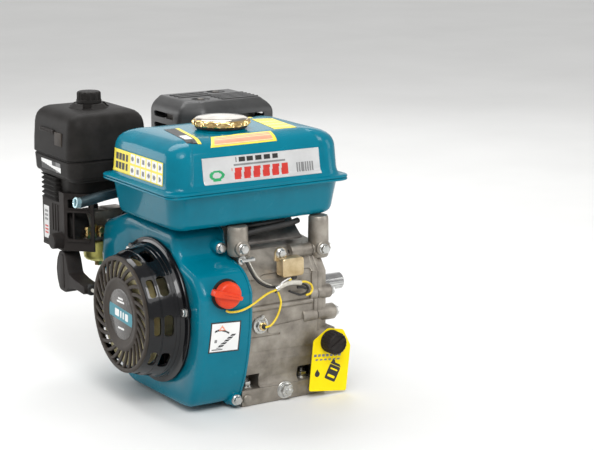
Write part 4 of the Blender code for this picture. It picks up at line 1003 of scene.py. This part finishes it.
def side_cover_details():
    paint = "cast_aluminium"
    axis = along_x(0, 0, CRANK_Z)
    pad = hoop([(40, 77.6), (40, 78.4), (56.4, 78.4), (57.2, 77.8), (57.4, 76.4), (57.4, 63), (59, 61.8),
            (50, 61)], axis, 96)
    seal = hoop([(13.8, 77.6), (14.2, 78.8), (16, 79.2), (22, 79.2), (23, 78.7), (23, 77.6)], axis, 64)
    parts = [(paint, pad), ("rubber", seal)]
    for i in range(8):
        space = spun(axis, 45 * i + 10)
        parts.append((paint, prism(filleted([(56.5, -1.6), (80, -1.2), (80, 1.2), (56.5, 1.6)], 0.6, 2),
                61.4, 66, space, 0.8)))
    ring_of_bolts = [(-72, 36), (-70, 140), (-40, 168), (22, 168), (58, 110), (80, 50), (60, 14), (-60, 14)]
    for y, z in ring_of_bolts:
        parts.append((paint, turned([(8, 60), (8, 63.4), (7.2, 64)], along_x(0, y, z), 32)))
        parts += bolt(along_x(64, y, z), 9, 5)
    piece("cover_details", parts)
    shaft_end = node_box("crankshaft_pto_half")[1].x
    profile = [(9.96, 62), (9.96, shaft_end - 1.2), (9.0, shaft_end - 0.1), (3.4, shaft_end - 0.1)]
    shaft = turned(profile, axis, 64)
    key_space = axis @ basis((0, 0, 0), (0, 0, 1), (0, 1, 0), (1, 0, 0))
    keyway = prism(rounded((100, -2.4), (shaft_end - 6, 2.4), 2.3, 6), 7.4, 12, key_space)
    centre = turned([(2.6, shaft_end - 12), (3.1, shaft_end + 1)], axis, 24)
    parts = [("polished_steel", carve(shaft, [keyway, centre])),
             ("polished_steel", turned([(12.7, 60), (12.7, 80.2), (12.0, 80.8)], axis, 64))]
    piece("output_shaft", parts, "crankshaft")


def fin_edges():
    """Rounded outer edges on the cylinder's and the head's cooling fins."""
    parts = []
    for t in list(range(66, 122, 11)) + [150, 160, 170]:
        half, low = (48.2, -50.2) if t > 140 else (49.9, -49.2)
        outline = filleted([(-half, low), (half, low), (half, 50.2), (-half, 50.2)], 4, 4)
        hollow = inset(outline, 5)
        levels = ((hollow, 0.1), (outline, 0.3), (outline, 2.4), (inset(outline, 0.6), 3.05),
                (hollow, 3.05))
        rings = [lifted(ring, t + h) for ring, h in levels]
        parts.append(("cast_aluminium", loft(rings, along_cylinder(), closed=True)))
    piece("fin_rims", parts)


def valve_cover():
    outer = [(0, 186.5), (-1.6, 187.0), (-1.6, 189.4), (0, 190.2), (0.4, 206), (1.4, 209.4), (3.2, 211.8),
             (6.0, 213.3), (10, 214)]
    rings = []
    for amount, height in outer:
        ring = rounded((-44 + amount, -54 + amount), (44 - amount, 44 - amount), 12, 6)
        rings.append(lifted(ring, height))
    cover = loft(rings, along_cylinder())
    dome = prism(rounded((-24, -30), (24, 20), 8, 5), 213.4, 215.6, along_cylinder(), 1.4, 3)
    parts = [("pressed_zinc", cover), ("pressed_zinc", dome)]
    for a, b in ((-36, -45), (36, -45), (-36, 35), (36, 35)):
        parts += bolt(along_cylinder() @ Matrix.Translation((a, b, 213.0)), 8, 4.5, 6)
    breather = turned([(6, 0), (6, 8), (5.2, 9)], along_cylinder() @ Matrix.Translation((30, -5, 213)), 32)
    parts.append(("pressed_zinc", breather))
    piece("rocker_cover", parts, stands_for=["valve_cover"], angle=40)


def ignition():
    space = across_cylinder(-32, 160)
    hexagon = turned([(10.4, 53), (10.4, 59), (9, 60)], space, 6, 0.3)
    thread = turned([(6.9 - 0.3 * (i % 2), 50.3 + 0.35 * i) for i in range(9)], space, 32)
    ribs = [(6.2, 60), (6.2, 61), (5.6, 61.6), (5.6, 64), (5.2, 64.4), (3.0, 65), (3.0, 76)]
    parts = [("zinc_steel", hexagon), ("zinc_steel", thread), ("ceramic", turned(ribs, space, 40))]
    piece("plug", parts, stands_for=["spark_plug"])
    top = space @ Vector((0, 0, 91))
    route = [top, top + Vector((-1, -3, 6)), (-40, 92, 257), (-44, 93, 240), (-46, 89, 226),
             (-51, 82, 212), (-57, 72, 203), (-63, 58, 197.5), (-68, 46, 196), (-73, 40, 196.5)]
    boot = hoop([(11, 64.6), (11.6, 66), (11.6, 69), (11, 70.5), (11, 80), (10.4, 84), (8.4, 90),
            (7.4, 92.4), (3.6, 92.6), (3.4, 77), (7, 65)], space, 48)
    piece("plug_lead", [("rubber", boot), ("rubber", pipe(route, 3.6, 8, 5))],
            stands_for=["spark_plug_lead"])


# Switch, wires, tag and oil fittings
def engine_switch():
    low, high = node_box("engine_switch")
    centre = (low + high) / 2
    rim = [(17.4, 0), (17.4, 1.2), (16.4, 2.2), (14, 2.5)]
    bezel = turned(rim, to_front(centre.x, high.y, centre.z), 64)
    piece("switch_bezel", [("black_plastic", bezel)], stands_for=["engine_switch"])
    space = to_front(centre.x, -113.1, centre.z)
    dial = [(14.4, 0), (15, 0.5), (15, 6.6), (14.2, 8.4), (12.8, 9.6), (10, 10.3), (4, 10.5)]
    knob = turned(dial, space, 72)
    rib_space = spun(space, -17)
    rib = prism(filleted([(-22.6, -2.8), (-21, -3.8), (-12, -3.6), (13.6, -2.2), (13.6, 2.2), (-12, 3.6),
            (-21, 3.8), (-22.6, 2.8)], 1.5, 3), 4.5, 13.8, rib_space, 1.1, 3)
    groove = block((-12, -0.5, 13.3), (9, 0.5, 14.0), rib_space, 0.1)
    piece("switch_dial", [("red_plastic", knob), ("red_plastic", carve(rib, [groove]))],
            "engine_switch_knob", ["switch_knob"])


def wires():
    switch_route = [(-86, -112, 125.5), (-83, -112.8, 123.6), (-76, -113.2, 122.6), (-68, -113.2, 122.9),
            (-60, -113, 124.6), (-49, -109.6, 127.3), (-35, -103, 130.6), (-22, -97.6, 133.3),
            (-9, -96, 135.5)]
    piece("switch_lead", [("yellow_wire", pipe(switch_route, 1.25, 8, 3))], stands_for=["switch_wire"])
    level_route = [(-27, -97.8, 94), (-20, -98.5, 95.5), (-13, -98, 102), (-8, -97, 110), (-5, -96, 119),
            (-6, -95, 126), (-8, -94.5, 131.8)]
    piece("level_lead", [("yellow_wire", pipe(level_route, 1.25, 8, 3))], stands_for=["level_wire"])
    earth_route = [(-43, -79, 172), (-43.5, -86, 168), (-42, -92, 160), (-37, -94, 151), (-29, -94, 144),
            (-19, -93.5, 139), (-9, -92.5, 137.5)]
    white_route = [(a + 2.6, b - 0.4, c + 1.8) for a, b, c in earth_route[:-1]]
    clip = block((-51, -88, 169.5), (-33, -80, 173.5), None, 1.2, 3)
    lug = turned([(5, 0), (5, 1.4)], to_front(-48, -82.5, 171.5), 32, 0.2)
    piece("earth_lead", [("rubber", pipe(earth_route, 1.6, 8, 3)), ("clear_sleeve",
            pipe(white_route, 0.7, 8, 2)), ("zinc_steel", clip), ("zinc_steel", lug)],
            stands_for=["earth_wire"])
    # The joint under the oil alert unit: a clear sleeve, its clip, and the wires that loop to it
    joint = [
        ("clear_sleeve", (3.1, 8, 5), [(-9, -95, 136), (-2, -96, 139.5), (6, -96, 141), (14, -95.5, 140.5),
                                       (22, -95, 138.6)]),
        ("zinc_steel", (3.4, 4, 5), [(-10.6, -94.6, 135.6), (-7.4, -95.2, 137)]),
        ("yellow_wire", (1.25, 8, 3), [(20, -95, 139.4), (28, -95.4, 139.4), (35, -95.6, 135.6),
                                       (37.6, -95.6, 129.6), (34.6, -95.6, 124.6), (29, -95.4, 123.4)]),
        ("rubber", (1.3, 8, 3), [(20, -94, 137), (27, -93.6, 136), (33, -93.4, 131.6), (31, -93.4, 126),
                                 (23, -94, 124.4), (14, -94, 127.6), (7, -94, 131)]),
        ("rubber", (1.6, 8, 3), [(18, -94.6, 134), (24, -94.6, 133.4), (30, -94.4, 131)]),
        ("yellow_wire", (1.25, 8, 3), [(10, -95, 150.4), (8.6, -96, 146), (4, -96.2, 142),
                                       (0, -96, 139.6)]),
        ("rubber", (1.3, 8, 3), [(13.4, -94.4, 150.4), (12, -95, 146), (8.4, -95.4, 142.4)]),
        ("ink_white", (0.9, 8, 3), [(-6, -96, 138), (-4, -97.4, 143), (2, -98, 146), (7, -97.4, 147)]),
        ("rubber", (1.0, 3, 2), [(-12, -95.8, 131.6), (-11.4, -96.2, 134.6)]),
        ("rubber", (1.0, 3, 2), [(-9.6, -95.8, 134.8), (-9.0, -96.2, 137.8)]),
    ]
    parts = [(paint, pipe(route, *thickness)) for paint, thickness, route in joint]
    piece("wire_joint", parts)


FILLER_X = 59.5
FILLER_Z = 65.4


def oil_fittings():
    unit = prism(rounded((-6, 149), (23, 171), 4, 4), 86.6, 102, to_front(), 2.4, 4)
    parts = [("yellow_zinc", unit)]
    lug = prism(filleted([(-9, 166), (7, 166), (6.4, 178), (2, 181.6), (-4, 181.6), (-8, 178)], 2.5, 3),
            86.6, 89, to_front(), 0.5)
    parts.append(("yellow_zinc", lug))
    parts += bolt(to_front(-1, -89, 175), 8.6, 4.6, 6.4)
    parts.append(("rubber", turned([(4.6, 0), (4.6, 4), (3.4, 5)], basis((12, -94.5, 149.6), (1, 0, 0),
            (0, 1, 0), (0, 0, -1)), 24)))
    piece("alert_box", parts, stands_for=["oil_alert_unit"])
    space = to_front(-27, -86.3, 94)
    washer = hoop([(6, 0), (9.6, 0), (9.9, 0.6), (9.6, 2.4), (8.8, 2.8), (6, 2.8)], space, 48)
    nut = turned([(7.2, 2.4), (7.2, 5.6), (6.2, 6.4)], space, 6, 0.2)
    core = turned([(4.6, 6), (4.6, 8), (3.8, 8.6)], space, 32)
    sleeve = turned([(2.8, 8), (2.8, 10.6), (1.8, 11.4)], space, 24)
    tab = filleted([(-11.8, -2), (-8, -3), (-8, 3), (-11.8, 2)], 1, 2)
    tab = prism(tab, 0.2, 1.8, spun(space, 250), 0.2)
    piece("level_switch_body", [("zinc_steel", washer), ("zinc_steel", nut), ("brass", core),
            ("rubber", sleeve), ("zinc_steel", tab)], stands_for=["oil_level_switch"])
    drain = bolt(to_front(7, -84.3, 11.5), 13.5, 6.5, 10.4)
    drain.append(("zinc_steel", turned([(3.4, 7.6), (3.4, 9.0), (2.4, 9.6)], to_front(7, -84.3, 11.5), 24)))
    piece("drain_plug", drain, stands_for=["oil_drain_bolt"])
    space = to_front(FILLER_X, -86.4, FILLER_Z)
    neck = hoop([(9.2, 0), (14.6, 0), (14.6, 9.6), (14.0, 11.4), (9.2, 11.4)], space, 64)
    piece("filler_neck_rim", [("cast_aluminium", neck)])

    def grip(angle):
        return int(math.cos(20 * angle) < -0.2)

    space = to_front(FILLER_X, 0, FILLER_Z)
    levels = [(8.4, 0, 82), (8.4, 0, 99.4), (13.2, 0, 99.8), (13.5, 0, 100.4), (13.5, 0, 102),
            (13.4, 0.7, 102.6), (13.2, 0.7, 114), (12.2, 0.3, 115.8), (10.6, 0, 116.8), (10.2, 0, 115.4),
            (5, 0, 115.2)]
    cap = loft([fluted(r, d, h, 120, grip) for r, d, h in levels], space)
    bar = block((-10.4, -2.2, 114.6), (10.4, 2.2, 117), spun(space, 30), 0.7)
    piece("filler_cap", [("soft_black", cap), ("soft_black", bar)], "oil_cap", ["oil_filler_cap"],
            30)


def oil_tag():
    """A plastic tag hung on the oil filler, with a can and a drop printed on it."""
    outline = filleted([(31, 9), (82, 2), (88, 56), (78, 76.5), (57, 81), (37, 68.5)], 2.5, 3)
    space = to_front()
    level = 99.4
    hole = turned([(9.6, 97), (9.6, 101)], to_front(FILLER_X, 0, FILLER_Z), 48)
    parts = [("tag_yellow", carve(prism(outline, level - 1, level, space), [hole]))]
    sheet = to_front(58, 0, 30) @ Matrix.Rotation(math.radians(-28), 4, "Z")
    can = filleted([(-2, -10), (14, -10), (14, 8), (-2, 8)], 2, 3)
    parts.append(("black_ink_and_painted_shade", prism(can, level, level + 0.12, sheet)))
    for bar in (rounded((0.6, -6.5), (11.4, -3.6), 1, 3), rounded((0.6, 2.6), (11.4, 4.4), 0.8, 3)):
        parts.append(("tag_yellow", prism(bar, level + 0.1, level + 0.2, sheet)))
    spout = [(-2, 8.6), (14, 8.6), (11, 11.4), (4, 11.4), (2, 14), (-0.6, 14)]
    parts.append(("black_ink_and_painted_shade", prism(spout, level, level + 0.12, sheet)))
    drop = [(0, 6)] + arc((0, 0), 3.4, 160, 380, 12)
    parts.append(("black_ink_and_painted_shade", prism(drop, level, level + 0.12, to_front(42, 0, 28))))
    for z, left, right, count, top in ((50.5, 37.5, 76, 7, 1.5), (46, 39.5, 75, 6, 0.4)):
        for i in range(count):
            x = left + (right - left) * i / count
            bar = rounded((x, -1.5), (x + 5.0 - 1.2, top), 0.5, 2)
            parts.append(("ink_grey", prism(bar, level, level + 0.1, to_front(0, 0, z - 0.1 * (x - 37)))))
    piece("oil_reminder_tag", parts, stands_for=["oil_tag"])


def shroud_with_painted_shade():
    """The dark sheet that leads air to the cylinder, and the fuel and breather hoses, all under the tank.
    The sheet's dark colour is partly painted shade for the shaded gap above the crankcase.
    """
    # The sheet is a real shroud, and its dark colour is also painted shade that darkens the gap between the
    # crankcase top and the tank
    plate = [(-60, 181.4), (-60, 184.4), (-30, 205.4), (-6, 206.4), (-6, 204.6), (-29, 203.4), (-56, 183.2)]
    parts = [("cast_dark", prism(plate, -30, 44, along_x(), 0.5))]
    gusset = prism(filleted([(-60, 181.4), (-30, 181.4), (-8, 206), (-30, 205.4)], 2, 2), 44, 47,
            along_x(), 0.5)
    parts.append(("cast_dark", gusset))
    hoses = [(3.4, [(-30, -62, 196), (-14, -66, 199), (6, -68, 201), (26, -66, 202.5), (40, -60, 203)]),
             (2.2, [(-31, -56, 203), (-16, -62, 205), (4, -63, 205.5), (22, -60, 206)])]
    for radius, route in hoses:
        parts.append(("rubber", pipe(route, radius, 8, 5)))
    piece("shroud_with_painted_shade", parts)


def hose():
    route = [(-57, 76.6, 229), (-57, 84, 224), (-58, 96, 215), (-62, 112, 208), (-69, 126, 201),
             (-77, 137, 191.5), (-79.7, 142, 187), (-80, 146.4, 185.3)]
    parts = [("rubber", pipe(route, 3.5, 8, 5))]
    for start, end in (route[:2], route[-2:]):
        start, end = Vector(start), Vector(end)
        middle = (start + end) / 2
        step = (end - start).normalized() * 1.3
        parts.append(("zinc_steel", pipe([middle - step, middle + step], 4.1, 2, 5)))
    piece("fuel_line", parts, stands_for=["fuel_hose"])


# Printed stickers, with generic bars and shapes only
def sticker(name, corners, target, picture, columns=48, rows=16, lift=0.12):
    """Corners run bottom left, bottom right, top right, top left. picture(u, v) names each cell's ink."""
    low_left, low_right, high_right, high_left = [Vector(c) for c in corners]
    bm = bmesh.new()
    grid = []
    for j in range(rows + 1):
        v = j / rows
        left, right = low_left.lerp(high_left, v), low_right.lerp(high_right, v)
        grid.append([bm.verts.new(left.lerp(right, i / columns) * MM) for i in range(columns + 1)])
    paints = []
    for j in range(rows):
        for i in range(columns):
            paint = picture((i + 0.5) / columns, (j + 0.5) / rows)
            if paint not in paints:
                paints.append(paint)
            face = bm.faces.new((grid[j][i], grid[j][i + 1], grid[j + 1][i + 1], grid[j + 1][i]))
            face.material_index = paints.index(paint)
            face.smooth = True
    mesh = finished(bm, name)
    for paint in paints:
        mesh.materials.append(MATERIALS[paint])
    sheet = put(name, mesh)
    if target is not None:
        wrap = sheet.modifiers.new("wrap", "SHRINKWRAP")
        wrap.target = target
        wrap.wrap_method = "NEAREST_SURFACEPOINT"
        wrap.wrap_mode = "ABOVE_SURFACE"
        wrap.offset = lift * MM
    thick = sheet.modifiers.new("thick", "SOLIDIFY")
    thick.thickness = 0.1 * MM
    thick.offset = 1.0
    depsgraph = bpy.context.evaluated_depsgraph_get()
    sheet.data = bpy.data.meshes.new_from_object(sheet.evaluated_get(depsgraph))
    sheet.modifiers.clear()
    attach(sheet, "root")
    return sheet


def inside(u, v, box):
    return box[0] < u < box[2] and box[1] < v < box[3]


def front_label(u, v):
    if v > 0.60:
        if inside(u, v, (0.28, 0.74, 0.66, 0.92)) and (u * 42) % 3 > 0.8:
            return "black_ink_and_painted_shade"
        if inside(u, v, (0.26, 0.62, 0.70, 0.68)):
            return "ink_grey"
        return "paper_silver"
    ring = (u - 0.115) ** 2 * 9 + (v - 0.32) ** 2
    if 0.012 <= ring < 0.035:
        return "ink_green"
    if inside(u, v, (0.24, 0.14, 0.72, 0.52)):
        slant = u + 0.03 * (0.3 - v)
        if (slant * 50) % 4 > 1.1:
            return "ink_red"
    if inside(u, v, (0.79, 0.18, 0.95, 0.5)) and int(u * 160) % 3 != 0:
        return "ink_grey"
    return "paper_silver"


def quick_label(u, v):
    if 0.06 < u < 0.32 and (0.56 < v < 0.84 or 0.16 < v < 0.44) and (u * 46) % 3 > 0.7:
        return "black_ink_and_painted_shade"
    if u > 0.36:
        cell_u, cell_v = ((u - 0.36) * 9.4) % 1, (v * 2) % 1
        if 0.1 < cell_u < 0.9 and 0.14 < cell_v < 0.86:
            if (cell_u - 0.5) ** 2 + (cell_v - 0.5) ** 2 < 0.05:
                return "ink_grey"
            return "ink_white"
    return "ink_yellow"


def warning_label(u, v):
    if inside(u, v, (0.04, 0.10, 0.96, 0.92)):
        if (v * 7) % 1 > 0.25:
            return "ink_rose"
        return "ink_cream"
    return "ink_yellow"


def dark_label(u, v):
    if u > 0.76:
        return "ink_yellow"
    if inside(u, v * 0.7, (0.15, 0.12, 0.65, 0.3)):
        return "ink_white"
    return "black_ink_and_painted_shade"


def yellow_label(u, v):
    if inside(u, v, (0.08, 0.12, 0.92, 0.88)) and (v * 8) % 2 > 1.2 and (u * 30) % 5 > 0.8:
        return "ink_cream"
    return "ink_yellow"


def housing_label(u, v):
    if not inside(u, v, (0.035, 0.035, 0.965, 0.965)):
        return "black_ink_and_painted_shade"
    slope = abs(u - 0.38) - (0.9 - v) * 0.7
    if slope < 0 and 0.72 < v < 0.9:
        return "ink_rose" if slope > -0.05 or v < 0.75 else "ink_white"
    if abs(v - (0.62 + 0.12 * math.sin(u * 5))) < 0.03 and 0.15 < u < 0.62:
        return "black_ink_and_painted_shade"
    if abs((u - 0.35) - (v - 0.18) * 1.1) < 0.08 and 0.15 < v < 0.6 and (v * 24) % 2 > 0.7:
        return "black_ink_and_painted_shade"
    if inside(u, v, (0.1, 0.08, 0.45, 0.13)) or inside(u, v, (0.16, 0.34, 0.26, 0.44)):
        return "ink_grey"
    return "ink_white"


def strip_label(u, v):
    if inside(u, v, (0.2, 0.1, 0.8, 0.4)) and (v * 20) % 2 > 0.9:
        return "ink_red"
    if inside(u, v, (0.2, 0.5, 0.8, 0.92)) and (v * 16) % 2 > 0.9:
        return "ink_grey"
    return "paper_silver"


def cleaner_label(u, v):
    if v < 0.62 - 0.55 * u or (u > 0.55 and v > 0.55):
        return "black_ink_and_painted_shade" if u < 0.75 else "ink_grey"
    return "ink_white"


def small_label(u, v):
    if inside(u, v, (0.15, 0.2, 0.85, 0.8)) and (v * 8) % 2 > 1.2:
        return "ink_grey"
    return "ink_white"


def stickers(tank_piece):
    housing = bpy.data.objects["housing_shell"]
    sticker("label_front", [(-93, -80, 260.8), (60, -80, 259.4), (58, -78, 289.5), (-94.5, -78, 290.6)],
            tank_piece, front_label, 150, 28)
    sticker("label_side", [(-135.5, 66, 260.5), (-135.5, -58, 260.5), (-133.6, -57, 286.5),
            (-133.6, 65, 286.5)], tank_piece, quick_label, 96, 20)
    sticker("label_top_front", [(-80, -72, 302), (6, -72, 302), (10, -50, 309), (-68, -50, 309)],
            tank_piece, warning_label, 40, 20)
    sticker("label_top_left", [(-105, -62, 307), (-88, -66, 307), (-70, 20, 309), (-90, 20, 309)],
            tank_piece, dark_label, 20, 30)
    sticker("label_top_right", [(19, -44, 309), (48, -46, 309), (58, 24, 309), (33, 31, 309)], tank_piece,
            yellow_label, 30, 40)
    sticker("label_top_back", [(8, 40, 309), (40, 38, 309), (44, 58, 308), (12, 58, 308)], tank_piece,
            yellow_label, 30, 20)
    sticker("label_housing", [(-105.5, -108, 76.5), (-66, -108, 74), (-65, -110, 110.5),
            (-103.5, -110, 113)], housing, housing_label, 48, 48)
    sticker("label_housing_edge", [(-115, 139, 134.5), (-115, 131, 134.5), (-115, 130, 146),
            (-115, 136.5, 147)], housing, small_label, 10, 12)
    sticker("label_guard", [(-156.7, 206.5, 156.5), (-156.7, 192, 156.5), (-156.7, 191, 197),
            (-156.7, 206, 197)], None, strip_label, 10, 40)
    sticker("label_cleaner", [(-165.4, 191, 246), (-165.4, 138.5, 246), (-165.6, 138, 258),
            (-165.6, 191, 258)], bpy.data.objects["cleaner_base"], cleaner_label, 36, 16)


# Stage: the photo's camera, a white floor and soft lights, in metres
CAMERA_LENS = 111.04
CAMERA_PLACE = (-1.0621, -1.8021, 0.6521)
CAMERA_TARGET = (0.0772, 0.0, 0.1818)


def look_at(item, target):
    direction = Vector(target) - item.location
    item.rotation_euler = direction.to_track_quat("-Z", "Y").to_euler()


def area_light(name, place, target, size, power):
    data = bpy.data.lights.new(name, "AREA")
    data.shape = "RECTANGLE"
    data.size, data.size_y = size
    data.energy = power
    lamp = put(name, data)
    lamp.location = place
    look_at(lamp, target)


def stage():
    scene = bpy.context.scene
    camera_data = bpy.data.cameras.new("camera")
    camera_data.sensor_width = 36.0
    camera_data.lens = CAMERA_LENS
    camera = put("camera", camera_data)
    camera.location = CAMERA_PLACE
    look_at(camera, CAMERA_TARGET)
    scene.camera = camera
    world = bpy.data.worlds.new("studio")
    scene.world = world
    world.use_nodes = True
    background = world.node_tree.nodes["Background"]
    background.inputs["Color"].default_value = (1.0, 1.0, 1.0, 1.0)
    background.inputs["Strength"].default_value = 0.45
    bm = bmesh.new()
    bmesh.ops.create_grid(bm, x_segments=8, y_segments=8, size=12)
    mesh = finished(bm, "floor")
    mesh.materials.append(MATERIALS["floor"])
    floor = put("floor", mesh)
    floor.location = (0, 0, -0.0005)
    target = (-0.03, 0.0, 0.17)
    for name, place, size, power in (("key", (-0.6, -1.7, 1.9), (0.9, 0.9), 22),
                                     ("fill", (1.7, -1.2, 0.8), (0.8, 1.3), 9),
                                     ("top", (0.0, 0.9, 1.7), (1.6, 0.8), 20),
                                     ("back", (0.95, 1.75, 0.78), (1.8, 0.5), 2.5),
                                     ("strip", (-1.5, 1.7, 0.55), (1.4, 0.9), 13)):
        area_light(name, place, target, size, power)
    daylight = bpy.data.lights.new("sky", "SUN")
    daylight.energy = 1.2
    daylight.angle = math.radians(50)
    lamp = put("sky", daylight)
    lamp.location = (-0.8, -1.6, 2.4)
    look_at(lamp, target)
    scene.view_settings.view_transform = "Standard"


def build():
    """Makes the materials, then every visible piece, then the stage."""
    make_materials()
    paint_cad_nodes()
    tank_piece = tank()
    for make in (fuel_cap, blower_housing, recoil_can, recoil_grille, starter, air_cleaner, air_duct,
                 carburettor_guard, carburettor, levers, exhaust, crankcase_details, side_cover_details,
                 fin_edges, valve_cover, ignition, engine_switch, wires, oil_fittings, oil_tag,
                 shroud_with_painted_shade, hose):
        make()
    stickers(tank_piece)
    stage()


build()
